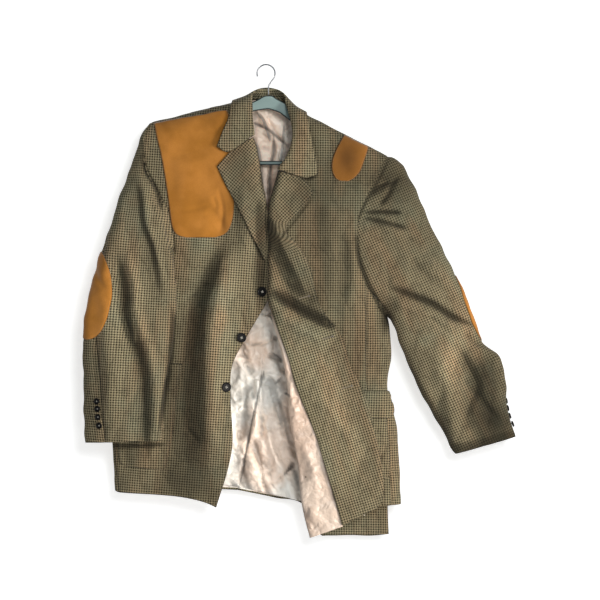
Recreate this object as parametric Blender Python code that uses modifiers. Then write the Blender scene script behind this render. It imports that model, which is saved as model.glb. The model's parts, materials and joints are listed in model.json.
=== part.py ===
"""A wool check sport jacket with leather patches, hanging on a flat plastic hanger.

Millimetres are used throughout and turned into metres when a mesh is made. The origin is the
inside top of the hanger's hook. X runs to the viewer's right, Y away from the viewer and Z up,
so the jacket faces -Y. Left and right in the names are the wearer's.

Every piece of cloth is a grid laid on a smooth surface and given its wall by a Solidify modifier.
The body is one flattened tube: body_point() gives any place on it, and what lies on a panel
(pockets, patches, lapel, facing) is the same surface moved out.
"""
from bisect import bisect_right
from collections import namedtuple
from math import acos, copysign, cos, degrees, exp, hypot, pi, radians, sin, sqrt

import bmesh
import bpy
from mathutils import Vector

MM = 0.001

# Walls and clearances.
CLOTH = 2.0
SATIN = 1.0
LEATHER = 1.4
SEAM_GAP = 0.5
EDGE_SEAM_GAP = 2.0
RIDGE_GAP = 0.9
ARMHOLE_GAP_RIGHT = 2.6
ARMHOLE_GAP_LEFT = 1.0
UNDERARM_GAP = 17.0
FOLD_GAP = 5.0
ARMPIT_GAP = 17.0
SIDE_SEAM_GAP = 1.9
SLEEVE_HEAD_GAP_RIGHT = 4.0
SLEEVE_HEAD_GAP_LEFT = 1.8
LAID_GAP = 1.0

# The shoulders: a ridge between the two neck points and the two shoulder points.
NECK_RIGHT = (-54.0, -73.0)
NECK_LEFT = (79.0, -99.5)
SLOPE_RIGHT = 0.246
SLOPE_LEFT = 0.547
NECK_TOP = -69.5
NECK_DEPTH = 22.0
RIDGE_ROUND = 45.0
SQUARENESS = 2.6
TUBE_FULLNESS = 0.85

# The hanger.
PLATE = 6.0
WIRE = 1.5
HOOK_RADIUS = 17.0 + WIRE
ARM_DROP = CLOTH + 1.4

# The body's outline and its depth in front of and behind the hanger, from the shoulders down.
Level = namedtuple("Level", "z left right front back")
LEVELS = [
    Level(-100, -300, 300, 36, 36),
    Level(-205, -300, 298, 38, 39),
    Level(-300, -262, 276, 38, 40),
    Level(-383, -240, 256, 38, 40),
    Level(-484, -269, 246, 37, 39),
    Level(-540, -286, 254, 36, 38),
    Level(-590, -300, 258, 35, 37),
    Level(-670, -314, 251, 33, 35),
    Level(-750, -318, 270, 31, 33),
    Level(-873, -311, 276, 29, 31),
    Level(-970, -309, 278, 28, 30),
]

# Panels: each row runs from the side (armhole, then side seam) to the inner edge.
Row = namedtuple("Row", "side_x side_z edge_x edge_z drop")
FRONT_RIGHT = [
    Row(-240, -119, -56, -74, 0),
    Row(-251, -155, -46, -112, 0),
    Row(-248, -205, -33, -155, 0),
    Row(-224, -258, -16, -207, 0),
    Row(-202, -300, -3, -258, 0),
    Row(-192, -345, 5, -310, 0),
    Row(-191, -386, 10, -365, 0),
    Row(-236, -430, 12, -414, 0),
    Row(-261, -484, 12, -458, 0),
    Row(-274, -520, 0, -492, 0),
    Row(-288, -565, -37, -556, 0),
    Row(-300, -617, -68, -617, 0),
    Row(-309, -680, -72, -680, 0),
    Row(-313, -771, -68, -771, 0),
    Row(-310, -832, -78, -832, 0),
    Row(-304, -880, -102, -890, 20),
]
FRONT_LEFT = [
    Row(250, -193, 81, -101, 0),
    Row(237, -210, 75, -118, 0),
    Row(222, -240, 68, -145, 0),
    Row(205, -275, 60, -175, 0),
    Row(191, -312, 44, -215, 0),
    Row(187, -350, 28, -262, 0),
    Row(193, -410, 22, -320, 0),
    Row(205, -451, 22, -380, 0),
    Row(205, -500, 22, -440, 0),
    Row(205, -545, 24, -500, 0),
    Row(205, -605, 42, -575, 0),
    Row(208, -671, 54, -650, 0),
    Row(228, -740, 60, -730, 0),
    Row(246, -800, 74, -800, 0),
    Row(256, -860, 84, -870, 0),
    Row(257, -906, 96, -930, 0),
]
BACK_RIGHT = [
    Row(-240, -119, 3, -71, 0),
    Row(-248, -155, 3, -120, 0),
    Row(-242, -205, 2, -175, 0),
    Row(-226, -258, 1, -230, 0),
    Row(-211, -300, 0, -285, 0),
    Row(-202, -345, 0, -340, 0),
    Row(-202, -383, -1, -390, 0),
    Row(-214, -450, -2, -460, 0),
    Row(-224, -520, -4, -530, 0),
    Row(-236, -600, -8, -605, 0),
    Row(-246, -680, -16, -680, 0),
    Row(-252, -770, -36, -775, 0),
    Row(-256, -864, -59, -871, 0),
]
BACK_LEFT = [
    Row(250, -193, 3, -71, 0),
    Row(246, -220, 3, -120, 0),
    Row(236, -265, 2, -175, 0),
    Row(226, -310, 1, -230, 0),
    Row(219, -355, 0, -285, 0),
    Row(219, -400, 0, -340, 0),
    Row(224, -440, -1, -390, 0),
    Row(226, -500, -2, -460, 0),
    Row(227, -560, -4, -530, 0),
    Row(230, -630, -8, -605, 0),
    Row(236, -710, -16, -680, 0),
    Row(248, -830, -36, -775, 8),
    Row(254, -966, -59, -871, 27),
]

# Side panels: the front seam and the back seam; top row is the bottom of the armhole.
Seam = namedtuple("Seam", "front_x front_z back_x back_z")
SIDE_RIGHT = [
    Seam(-197, -389, -203, -389),
    Seam(-236, -430, -210, -430),
    Seam(-261, -484, -219, -484),
    Seam(-288, -565, -231, -565),
    Seam(-307, -660, -244, -660),
    Seam(-313, -771, -254, -771),
    Seam(-310, -832, -258, -820),
    Seam(-304, -880, -262, -866),
]
SIDE_LEFT = [
    Seam(205, -451, 224, -440),
    Seam(205, -500, 226, -500),
    Seam(205, -545, 227, -560),
    Seam(205, -605, 229, -630),
    Seam(208, -671, 236, -710),
    Seam(228, -740, 248, -760),
    Seam(246, -800, 258, -820),
    Seam(256, -860, 260, -865),
    Seam(257, -906, 262, -902),
]

# What lies on the body: each row runs from left to right.
Strip = namedtuple("Strip", "left_x left_z right_x right_z")
LAPEL_RIGHT = [
    Strip(-75, -182.6, -25, -149.6),
    Strip(-100, -211, -17, -172),
    Strip(-84, -245, -11, -207),
    Strip(-66, -279, -5, -248),
    Strip(-47, -315, 0, -289),
    Strip(-29, -351, 1, -330),
    Strip(-12, -383, 1, -372),
    Strip(-3, -402, 1, -404),
]
FACING_LEFT = [
    Strip(25, -219.6, 79, -235.8),
    Strip(13, -262, 98, -264),
    Strip(6, -291, 70, -301),
    Strip(4, -335, 41, -338),
    Strip(4, -381, 73, -381),
    Strip(4, -430, 92, -425),
    Strip(4, -484, 106, -484),
    Strip(14, -515, 126, -520),
    Strip(30, -560, 158, -563),
    Strip(47, -607, 169, -610),
    Strip(60, -645, 190, -652),
    Strip(74, -683, 209, -700),
    Strip(91, -725, 220, -750),
    Strip(107, -765, 232, -795),
    Strip(125, -826, 239, -850),
    Strip(140, -890, 239, -893),
    Strip(156, -946, 226, -912),
]
LINING_FRONT_LEFT = [
    Strip(10, -512, 11.5, -516),
    Strip(25, -566, 29.5, -566),
    Strip(35, -607, 44.5, -609),
    Strip(43, -660, 62.5, -660),
    Strip(48, -732, 90.5, -730),
    Strip(58, -783, 110.5, -785),
    Strip(66, -826, 122.5, -828),
    Strip(70, -880, 134.5, -885),
    Strip(78, -925, 146.5, -922),
    Strip(90, -972, 153.5, -948),
]
LINING_BACK_RIGHT = [
    Strip(-60, -100, 2, -76),
    Strip(-120, -150, 2, -150),
    Strip(-150, -250, 0, -250),
    Strip(-165, -400, -2, -400),
    Strip(-180, -550, -6, -550),
    Strip(-195, -700, -20, -700),
    Strip(-200, -855, -58, -863),
]
LINING_BACK_LEFT = [
    Strip(3, -76, 74, -118),
    Strip(3, -150, 130, -175),
    Strip(1, -250, 160, -265),
    Strip(-1, -400, 175, -400),
    Strip(-5, -550, 185, -560),
    Strip(-19, -700, 195, -720),
    Strip(-57, -863, 205, -920),
]
PATCH_SHOULDER_RIGHT = [
    Strip(-228, -121, -74, -83),
    Strip(-224, -150, -70, -118),
    Strip(-213, -197, -66, -175),
    Strip(-203, -258, -64, -245),
    Strip(-197, -305, -66, -305),
    Strip(-192, -335, -74, -336),
    Strip(-182, -350, -86, -350),
    Strip(-164, -356, -104, -356),
]
PATCH_SHOULDER_LEFT = [
    Strip(160, -145, 210, -171),
    Strip(146, -171, 205, -188),
    Strip(136, -196, 199, -205),
    Strip(135, -218, 192, -222),
    Strip(142, -234, 180, -235),
    Strip(152, -240, 168, -241),
]
POCKET_RIGHT = [
    Strip(-296, -632, -178, -640),
    Strip(-303, -700, -185, -700),
    Strip(-305, -771, -194, -771),
    Strip(-304, -805, -202, -808),
    Strip(-300, -820, -205, -826),
    Strip(-285, -826, -213, -834),
]
POCKET_LEFT = [
    Strip(160, -688, 240, -688),
    Strip(166, -730, 248, -730),
    Strip(172, -790, 254, -790),
    Strip(176, -830, 256, -830),
    Strip(180, -846, 254, -846),
    Strip(190, -853, 240, -853),
]
FLAP_RIGHT = [
    Strip(-258, -608, -172, -615),
    Strip(-260, -634, -175, -640),
    Strip(-260, -655, -180, -660),
    Strip(-252, -663, -188, -668),
]
FLAP_LEFT = [
    Strip(150, -669, 250, -671),
    Strip(154, -700, 257, -700),
    Strip(160, -718, 259, -719),
    Strip(168, -726, 252, -727),
]

# The collar: stations round the neck, from the right gorge behind the neck to the left gorge.
Station = namedtuple("Station", "seam roll mid edge")
COLLAR = [
    Station((-31, -38, -151), (-26, -47, -148), (-75, -46, -181), (-100, -45, -170)),
    Station((-38, -35, -128), (-27, -43, -126), (-62, -47, -148), (-89, -44, -140)),
    Station((-46, -26, -100), (-28, -31, -102), (-54, -42, -113), (-77, -40, -112)),
    Station((-50, -11, -76), (-29, -14, -80), (-50, -24, -80), (-72, -27, -86)),
    Station((-45, 10, -69), (-29, 3, -63), (-50, 1, -67), (-68, -1, -73)),
    Station((-36, 22, -69), (-25, 15, -53), (-46, 28, -66), (-64, 33, -84)),
    Station((-18, 27, -68), (-13, 25, -47), (-26, 41, -68), (-36, 47, -99)),
    Station((3, 28, -68), (3, 27, -45), (3, 44, -68), (3, 50, -104)),
    Station((26, 27, -70), (20, 25, -48), (32, 42, -72), (44, 48, -107)),
    Station((50, 20, -78), (33, 14, -55), (54, 28, -78), (76, 35, -108)),
    Station((68, 8, -91), (38, 0, -67), (60, 2, -84), (82, -1, -97)),
    Station((72, -14, -97), (44, -16, -88), (66, -28, -97), (85, -32, -110)),
    Station((66, -29, -128), (52, -34, -118), (74, -45, -130), (91, -44, -142)),
    Station((60, -36, -160), (56, -44, -150), (80, -48, -166), (98, -45, -180)),
    Station((48, -38, -192), (47, -48, -186), (75, -49, -206), (104, -45, -206)),
    Station((32, -40, -219), (27, -50, -218), (79, -49, -234), (106, -46, -227)),
]
LAPEL_CUTS = (0.0, 0.25, 0.5, 0.7, 0.85, 0.94, 1.0)
FACING_CUTS = (0.0, 0.04, 0.1, 0.2, 0.35, 0.55, 0.75, 1.0)
COLLAR_CUTS = (0.0, 0.14, 0.25, 0.3, 0.36, 0.45, 0.57, 0.72, 0.86, 1.0)

# Armholes: rows at an angle round the loop, 0 at the shoulder, 90 in front, 180 under the arm.
Hole = namedtuple("Hole", "angle x z face")
ARMHOLE_RIGHT = [
    Hole(0, -240, -119, 0),
    Hole(30, -251, -155, -1),
    Hole(55, -248, -205, -1),
    Hole(80, -224, -258, -1),
    Hole(105, -202, -300, -1),
    Hole(130, -193, -345, -1),
    Hole(155, -197, -378, -1),
    Hole(180, -233, -389, 0),
    Hole(205, -202, -383, 1),
    Hole(230, -202, -345, 1),
    Hole(255, -211, -300, 1),
    Hole(280, -226, -258, 1),
    Hole(305, -242, -205, 1),
    Hole(330, -248, -155, 1),
    Hole(360, -240, -119, 0),
]
ARMHOLE_LEFT = [
    Hole(0, 250, -193, 0),
    Hole(25, 237, -210, -1),
    Hole(45, 222, -240, -1),
    Hole(65, 205, -275, -1),
    Hole(82, 191, -312, -1),
    Hole(100, 187, -350, -1),
    Hole(125, 193, -410, -1),
    Hole(145, 205, -451, -1),
    Hole(180, 244, -516, 0),
    Hole(210, 224, -440, 1),
    Hole(230, 219, -400, 1),
    Hole(250, 219, -355, 1),
    Hole(275, 226, -310, 1),
    Hole(300, 236, -265, 1),
    Hole(330, 246, -220, 1),
    Hole(360, 250, -193, 0),
]

# Sleeves: rings from the armhole to the cuff. Each has its outer and inner edge, the depth of
# those two edges behind the hanger's plane, and half its thickness.
Ring = namedtuple("Ring", "out_x out_z in_x in_z out_y in_y half hinge")
SLEEVE_RIGHT = [
    Ring(-240, -119, -200, -387, 0, 0, 28, 1.0),
    Ring(-257, -146, -196, -386, -3, -21, 27, 0.25),
    Ring(-272, -190, -188, -397, -8, -46, 26, 0.03),
    Ring(-287, -236, -185, -428, -14, -64, 26, 0.03),
    Ring(-303, -285, -182, -463, -20, -67, 26, 0),
    Ring(-320, -340, -182, -497, -26, -67, 26, 0),
    Ring(-340, -400, -186, -537, -30, -67, 26, 0),
    Ring(-357, -460, -190, -576, -32, -66, 26, 0),
    Ring(-369, -521, -196, -611, -34, -65, 25, 0),
    Ring(-375, -580, -203, -646, -34, -63, 24, 0),
    Ring(-374, -640, -207, -682, -34, -61, 23, 0),
    Ring(-373, -700, -209, -715, -34, -59, 22, 0),
    Ring(-370, -776, -211, -771, -34, -58, 20, 0),
]
SLEEVE_LEFT = [
    Ring(250, -193, 244, -516, 0, 0, 30, 1.0),
    Ring(277, -206, 258, -525, 0, 0, 34, 0.72),
    Ring(295, -240, 270, -549, 0, 0, 37, 0.4),
    Ring(316, -285, 282, -582, 0, 0, 38, 0.15),
    Ring(336, -332, 296, -616, 0, 0, 38, 0),
    Ring(358, -374, 310, -647, 0, 0, 37, 0),
    Ring(383, -422, 325, -678, 0, 0, 35, 0),
    Ring(409, -476, 341, -708, 0, 0, 33, 0),
    Ring(433, -538, 356, -735, 0, 0, 31, 0),
    Ring(449, -577, 366, -752, 0, 0, 30, 0),
    Ring(476, -600, 374, -766, -2, -2, 28, 0),
    Ring(489, -650, 381, -780, -3, -4, 26, 0),
    Ring(500, -708, 387, -790, -4, -6, 23, 0),
    Ring(514, -762, 392, -797, -5, -8, 20, 0),
]
# Where the two sleeve seams run, in degrees round the ring, from the armhole to the cuff.
HIND_SEAM_RIGHT = (-35, -10, 20, 50, 62)
FORE_SEAM_RIGHT = (235, 225, 212, 203, 200)
HIND_SEAM_LEFT = (-40, -35, -28, -20, -15)
FORE_SEAM_LEFT = (150, 175, 185, 190, 195)

# Elbow patches, in ring numbers down the sleeve and degrees round it.
ElbowPatch = namedtuple("ElbowPatch", "first last middle reach")
ELBOW_RIGHT = ElbowPatch(5.75, 8.7, 12, 50)
ELBOW_LEFT = ElbowPatch(6.15, 8.75, -28, 52)

# Buttons: centre on the front, or ring number and degrees on a cuff.
FRONT_BUTTONS = [(-7, -467), (-50, -561), (-81, -662)]
FRONT_BUTTON = (10.0, 3.6)
CUFF_BUTTON = (6.6, 3.0)
CUFF_BUTTONS_RIGHT = [(10.80, 50), (11.05, 51), (11.29, 52), (11.53, 53)]
CUFF_BUTTONS_LEFT = [(11.72, -3), (11.98, -3), (12.26, -3), (12.56, -3)]

COLOURS = {
    "wool_check": ((0.16, 0.13, 0.09, 1.0), 0.9),
    "satin_lining": ((0.55, 0.50, 0.46, 1.0), 0.35),
    "suede_patch": ((0.42, 0.17, 0.04, 1.0), 0.75),
    "button_horn": ((0.01, 0.009, 0.008, 1.0), 0.25),
    "hanger_teal": ((0.25, 0.34, 0.33, 1.0), 0.45),
    "hook_steel": ((0.62, 0.62, 0.62, 1.0), 0.2),
}


def clear_scene():
    for thing in list(bpy.data.objects):
        bpy.data.objects.remove(thing, do_unlink=True)


def new_collection(name):
    collection = bpy.data.collections.new(name)
    bpy.context.scene.collection.children.link(collection)
    return collection


def new_material(name):
    colour, roughness = COLOURS[name]
    material = bpy.data.materials.get(name) or bpy.data.materials.new(name)
    material.use_nodes = True
    shader = material.node_tree.nodes["Principled BSDF"]
    shader.inputs["Base Color"].default_value = colour
    shader.inputs["Roughness"].default_value = roughness
    shader.inputs["Metallic"].default_value = 1.0 if name == "hook_steel" else 0.0
    return material


# ---- smooth tables

def through(keys, rows, at, corners=()):
    """Every column of the rows at a key: smooth between rows, sharp at the rows named as corners."""
    last = len(keys) - 1
    at = min(max(at, keys[0]), keys[-1])
    k = min(bisect_right(keys, at) - 1, last - 1)
    span = keys[k + 1] - keys[k]
    f = (at - keys[k]) / span

    def slope(i, column):
        if i in (0, last) or i in corners:
            return rows[k + 1][column] - rows[k][column]
        return (rows[i + 1][column] - rows[i - 1][column]) / (keys[i + 1] - keys[i - 1]) * span

    values = []
    for column in range(len(rows[0])):
        a = rows[k][column]
        b = rows[k + 1][column]
        cubic = 2 * f**3 - 3 * f**2
        values.append(a * (cubic + 1) - b * cubic
                      + slope(k, column) * (f**3 - 2 * f**2 + f) + slope(k + 1, column) * (f**3 - f**2))
    return values


def along(rows, t, corners=()):
    """The same for rows evenly counted from 0 to 1."""
    last = len(rows) - 1
    return through(range(last + 1), rows, t * last, corners)


def mix(a, b, f):
    return a + (b - a) * f


# ---- the body

def level_at(z):
    heights = [-row.z for row in LEVELS]
    return Level(*through(heights, LEVELS, -z))


def shoulder_top(x):
    """Height of the shoulder ridge, with the neck's curve between the neck points."""
    if x < NECK_RIGHT[0]:
        return NECK_RIGHT[1] + (x - NECK_RIGHT[0]) * SLOPE_RIGHT
    if x > NECK_LEFT[0]:
        return NECK_LEFT[1] - (x - NECK_LEFT[0]) * SLOPE_LEFT
    f = (x - NECK_RIGHT[0]) / (NECK_LEFT[0] - NECK_RIGHT[0])
    chord = mix(NECK_RIGHT[1], NECK_LEFT[1], f)
    return chord + (NECK_TOP - mix(NECK_RIGHT[1], NECK_LEFT[1], 0.43)) * sin(pi * f)


def neck_scoop(x):
    """How far past the ridge the back already is along the neck."""
    f = (x - NECK_RIGHT[0]) / (NECK_LEFT[0] - NECK_RIGHT[0])
    return NECK_DEPTH * sin(pi * f) if 0 < f < 1 else 0.0


def body_depth(x, z, face):
    """Distance of the front (face -1) or the back (face 1) from the hanger's plane."""
    here = level_at(z)
    middle = (here.left + here.right) / 2
    across = min(abs(x - middle) / ((here.right - here.left) / 2), 1.0)
    full = here.front if face < 0 else here.back
    drop = shoulder_top(x) - z + (neck_scoop(x) if face > 0 else 0.0)
    rest = max(0.0, 1 - max(drop, 0.0) / RIDGE_ROUND)
    return full * (1 - across**SQUARENESS) ** (1 / SQUARENESS) * sqrt(1 - rest**2)


def body_point(x, z, face):
    return Vector((x, face * body_depth(x, z, face), z))


def body_normal(x, z, face):
    step = 3.0
    over = body_point(x + step, z, face) - body_point(x - step, z, face)
    down = body_point(x, z - step, face) - body_point(x, z + step, face)
    return over.cross(down).normalized() * face


def lifted(x, z, face, lift):
    return body_point(x, z, face) + body_normal(x, z, face) * lift


def round_body(angle, z):
    """A place on the body's tube: 0 degrees at the left side seam, 90 in front, 180 at the right."""
    here = level_at(z)
    middle = (here.left + here.right) / 2
    width = (here.right - here.left) / 2
    c, s = cos(angle), sin(angle)
    power = 2 / SQUARENESS
    deep = here.front if s > 0 else here.back
    x = middle + width * abs(c) ** power * (1 if c > 0 else -1)
    return Vector((x, -deep * abs(s) ** power * (1 if s > 0 else -1), z))


def angle_at(x, z):
    here = level_at(z)
    middle = (here.left + here.right) / 2
    across = (x - middle) / ((here.right - here.left) / 2)
    return acos(min(abs(across), 1.0) ** (SQUARENESS / 2) * (1 if across > 0 else -1))


# ---- the pieces' surfaces; s runs across and t down, both 0 to 1

def corner_droop(s):
    """The front's hem falls towards its corner."""
    return s**5


def hem_wave(s):
    """The left back's hem hangs low towards the side vent and high towards the centre seam."""
    return sin(2 * pi * s)


def panel(rows, face, hem_shape, armhole_gap):
    """An outer panel of the body, inset from its seams."""
    def place(s, t):
        row = Row(*along(rows, t))
        gap = SEAM_GAP if t > 0.5 else armhole_gap
        inset = gap / max(abs(row.edge_x - row.side_x), 20)
        s = mix(inset, 1 - SEAM_GAP / 200, s)
        x = mix(row.side_x, row.edge_x, s)
        z = mix(row.side_z, row.edge_z, s) - row.drop * hem_shape(s)
        first = rows[0]
        seam_line = mix(first.side_z, first.edge_z, s)
        seam_x = mix(first.side_x, first.edge_x, s)
        z += (shoulder_top(seam_x) - seam_line) * max(0.0, 1 - 5 * t)
        point = body_point(x, z, face)
        if t < 0.001:
            point.y = face * max(abs(point.y), RIDGE_GAP)
        return point
    return place


def side_panel(rows, turn, holes, first_degrees, last_degrees):
    """A side panel, round the body's edge from the front seam to the back seam, its top on the armhole."""
    def place(s, t):
        fade = max(0.0, 1 - t * 2.5) ** 2
        t = mix(UNDERARM_GAP / 500, 1, t)
        s = mix(SIDE_SEAM_GAP / 100, 1 - SIDE_SEAM_GAP / 100, s)
        row = Seam(*along(rows, t))
        front = angle_at(row.front_x, row.front_z)
        back = angle_at(row.back_x, row.back_z)
        angle = mix(front, 2 * pi - back if turn < 0 else -back, s)
        z = mix(row.front_z, row.back_z, s)
        under_arm = armhole_point(holes, mix(first_degrees, last_degrees, s))
        hollow = under_arm.z - mix(rows[0].front_z, rows[0].back_z, s)
        return round_body(angle, z + hollow * fade)
    return place


def laid_on(rows, face, lift, corners=()):
    """A piece lying on the body, its outer side at the given lift."""
    def place(s, t):
        row = Strip(*along(rows, t, corners))
        x = mix(row.left_x, row.right_x, s)
        z = mix(row.left_z, row.right_z, s)
        return lifted(x, z, face, lift)
    return place


def folded_over(rows, fold_left, lift, roll, corners=()):
    """A front part turned back: it rolls off the front at its fold and settles towards its edge."""
    low = CLOTH + LAID_GAP

    def place(s, t):
        row = Strip(*along(rows, t, corners))
        away = (s if fold_left else 1 - s) * (row.right_x - row.left_x)
        bump = roll * exp(-((away - 12) / 14) ** 2)
        rise = low + (lift + bump - low) * (1 - exp(-away / 3.5))
        x = mix(row.left_x, row.right_x, s)
        z = mix(row.left_z, row.right_z, s)
        return lifted(x, z, -1, rise)
    return place


def collar_surface(v, u):
    """The collar from its neck seam over the roll to its edge (v), round the neck (u)."""
    keys = (0.0, 0.3, 0.66, 1.0)
    points = []
    for part in range(4):
        points.append(along([station[part] for station in COLLAR], u))
    corners = (2,) if u in (0.0, 1.0) else ()
    return Vector(through(keys, points, v, corners))


def armhole_point(holes, degrees):
    degrees %= 360
    row = Hole(*through([row.angle for row in holes], holes, degrees))
    face = -1 if degrees < 180 else 1
    depth = body_depth(row.x, row.z, face)
    return Vector((row.x, face * depth, row.z))


def ring_point(ring, degrees):
    turn = radians(degrees)
    towards_out = (cos(turn) + 1) / 2
    x = mix(ring.in_x, ring.out_x, towards_out)
    z = mix(ring.in_z, ring.out_z, towards_out)
    bulge = copysign(abs(sin(turn)) ** TUBE_FULLNESS, sin(turn))
    return Vector((x, mix(ring.in_y, ring.out_y, towards_out) - ring.half * bulge, z))


def sleeve(rings, holes):
    """A sleeve's surface, by degrees round it and by how far down it (0 to 1)."""
    first = rings[0]

    def place(degrees, t):
        ring = Ring(*along(rings, t))
        point = ring_point(ring, degrees)
        return point + (armhole_point(holes, degrees) - ring_point(first, degrees)) * ring.hinge
    return place


def seam_inset(ring, seam_angle, gap):
    """Degrees to keep back from a seam: wider where the walls meet at an angle."""
    turn = radians(seam_angle)
    reach = hypot(ring.out_x - ring.in_x, ring.out_z - ring.in_z) / 2
    gap += SEAM_GAP + EDGE_SEAM_GAP * cos(turn) ** 4
    return degrees(gap / hypot(reach * sin(turn), ring.half * cos(turn)))


def sleeve_part(surface, rings, seam_from, seam_to, head_gap, armpit):
    """One of a sleeve's two pieces, between two seams that wander down it. Either seam may open in the
    armpit, where the tube doubles back on itself."""
    start = head_gap / 30 / (len(rings) - 1)

    def place(s, t):
        t = mix(start, 1.0, t)
        ring = Ring(*along(rings, t))
        first = along([(value,) for value in seam_from], t)[0]
        second = along([(value,) for value in seam_to], t)[0]
        fold = FOLD_GAP * max(0.0, 1 - 7 * t)
        pinch = exp(-((t - 0.2) / 0.09) ** 2)
        first += seam_inset(ring, first, fold + armpit[0] * pinch)
        second -= seam_inset(ring, second, fold + armpit[1] * pinch)
        return surface(mix(first, second, s), t)
    return place


def surface_normal(surface, degrees, t):
    around = surface(degrees + 3, t) - surface(degrees - 3, t)
    down = surface(degrees, t + 0.01) - surface(degrees, t - 0.01)
    return around.cross(down).normalized()


def elbow_patch(surface, shape, last_ring, outward):
    """An oval on the sleeve, moved out."""
    def place(s, t):
        along_patch = mix(-1, 1, t)
        half = shape.reach * (1.02 - abs(along_patch) ** 2.4) ** (1 / 2.4)
        degrees = shape.middle + half * mix(-1, 1, s)
        down = mix(shape.first, shape.last, t) / last_ring
        lift = 4.0 * LAID_GAP + LEATHER
        return surface(degrees, down) + surface_normal(surface, degrees, down) * outward * lift
    return place


# ---- making solids

def link(collection, obj, material_name):
    obj.data.materials.append(new_material(material_name))
    collection.objects.link(obj)
    return obj


def cloth(collection, name, surface, across, down, wall, material_name, flip=False, ease=1.0):
    """A grid laid on a surface, with its wall inside it; ease above 1 crowds its rows at the top."""
    cuts = across if isinstance(across, tuple) else tuple(i / across for i in range(across + 1))
    mesh = bpy.data.meshes.new(name)
    grid = bmesh.new()
    bmesh.ops.create_grid(grid, x_segments=len(cuts) - 1, y_segments=down, size=0.5)
    for vertex in grid.verts:
        s = cuts[round((vertex.co.x + 0.5) * (len(cuts) - 1))]
        t = min(max(0.5 - vertex.co.y, 0.0), 1.0) ** ease
        vertex.co = surface(s, t) * MM
    if flip:
        bmesh.ops.reverse_faces(grid, faces=grid.faces)
    grid.to_mesh(mesh)
    grid.free()
    obj = bpy.data.objects.new(name, mesh)
    solid = obj.modifiers.new("wall", "SOLIDIFY")
    solid.thickness = wall * MM
    solid.offset = -1.0
    return link(collection, obj, material_name)


def button(collection, name, centre, normal, size):
    """A turned button with a rim and a dished face, its back on the cloth."""
    radius, thick = size
    profile = [(0.0, 0.55), (0.55, 0.55), (0.76, 1.0), (0.97, 0.85), (0.97, 0.2), (0.75, 0.0)]
    mesh = bpy.data.meshes.new(name)
    outline = bmesh.new()
    rim = [outline.verts.new((r * radius * MM, 0, h * thick * MM)) for r, h in profile]
    rim.append(outline.verts.new((0, 0, 0)))
    for a, b in zip(rim, rim[1:]):
        outline.edges.new((a, b))
    outline.to_mesh(mesh)
    outline.free()
    obj = bpy.data.objects.new(name, mesh)
    screw = obj.modifiers.new("turned", "SCREW")
    screw.steps = 14
    screw.render_steps = 14
    screw.use_merge_vertices = True
    screw.merge_threshold = 0.00001
    screw.use_normal_calculate = True
    obj.location = centre * MM
    obj.rotation_mode = "QUATERNION"
    obj.rotation_quaternion = Vector((0, 0, 1)).rotation_difference(normal)
    return link(collection, obj, "button_horn")


def add_spline(curve, points):
    spline = curve.splines.new("POLY")
    spline.points.add(len(points) - 1)
    for point, (x, z) in zip(spline.points, points):
        point.co = (x * MM, z * MM, 0, 1)
    spline.use_cyclic_u = True


def rounded(points, radius):
    """An outline with each corner cut by a short arc."""
    result = []
    count = len(points)
    for i in range(count):
        here = Vector(points[i])
        before = (Vector(points[i - 1]) - here)
        after = (Vector(points[(i + 1) % count]) - here)
        cut = min(radius, before.length / 2.2, after.length / 2.2)
        a = here + before.normalized() * cut
        b = here + after.normalized() * cut
        for f in (0.0, 0.33, 0.67, 1.0):
            result.append(tuple(a * (1 - f) ** 2 + here * 2 * f * (1 - f) + b * f * f))
    return result


def hanger_frame(collection):
    """A flat plate: two sloping arms, their turned-down ends and the bar, round one opening."""
    def arm(x):
        return shoulder_top(x) - ARM_DROP

    tip_right, tip_left = -208, 214
    bar_top, bar_bottom = -197, -206
    outside = [(-3, -62), (13, -62), (22, -69), (36, -76), (82, arm(82)), (tip_left - 4, arm(tip_left - 4)),
               (tip_left + 2, -190), (tip_left - 6, bar_bottom), (tip_right + 6, bar_bottom),
               (tip_right - 4, -150), (tip_right, arm(tip_right)), (-56, arm(-56)), (-30, -77), (-14, -69)]
    inside = [(5, -90), (28, -98), (54, -118), (176, -187), (180, bar_top), (tip_right + 13, bar_top),
              (tip_right + 9, -150), (tip_right + 22, -140), (-26, -95)]
    curve = bpy.data.curves.new("hanger_frame", "CURVE")
    curve.dimensions = "2D"
    curve.fill_mode = "BOTH"
    curve.extrude = PLATE / 2 * MM
    add_spline(curve, rounded(outside, 8))
    add_spline(curve, rounded(inside, 6))
    obj = bpy.data.objects.new("hanger_frame", curve)
    obj.rotation_euler = (pi / 2, 0, 0)
    return link(collection, obj, "hanger_teal")


def hanger_hook(collection):
    """A bent wire whose inside top is the origin; its foot stands on the frame's boss."""
    centre = -(HOOK_RADIUS - WIRE)
    path = [(5, -61.6), (5, -54), (5, -47), (6, -41), (9, -36)]
    for step in range(17):
        turn = radians(-45 + step * 15)
        path.append((HOOK_RADIUS * cos(turn), centre + HOOK_RADIUS * sin(turn)))
    curve = bpy.data.curves.new("hanger_hook", "CURVE")
    curve.dimensions = "3D"
    curve.bevel_depth = WIRE * MM
    curve.bevel_resolution = 2
    curve.use_fill_caps = True
    spline = curve.splines.new("POLY")
    spline.points.add(len(path) - 1)
    for point, (x, z) in zip(spline.points, path):
        point.co = (x * MM, 0, z * MM, 1)
    obj = bpy.data.objects.new("hanger_hook", curve)
    return link(collection, obj, "hook_steel")


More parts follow.
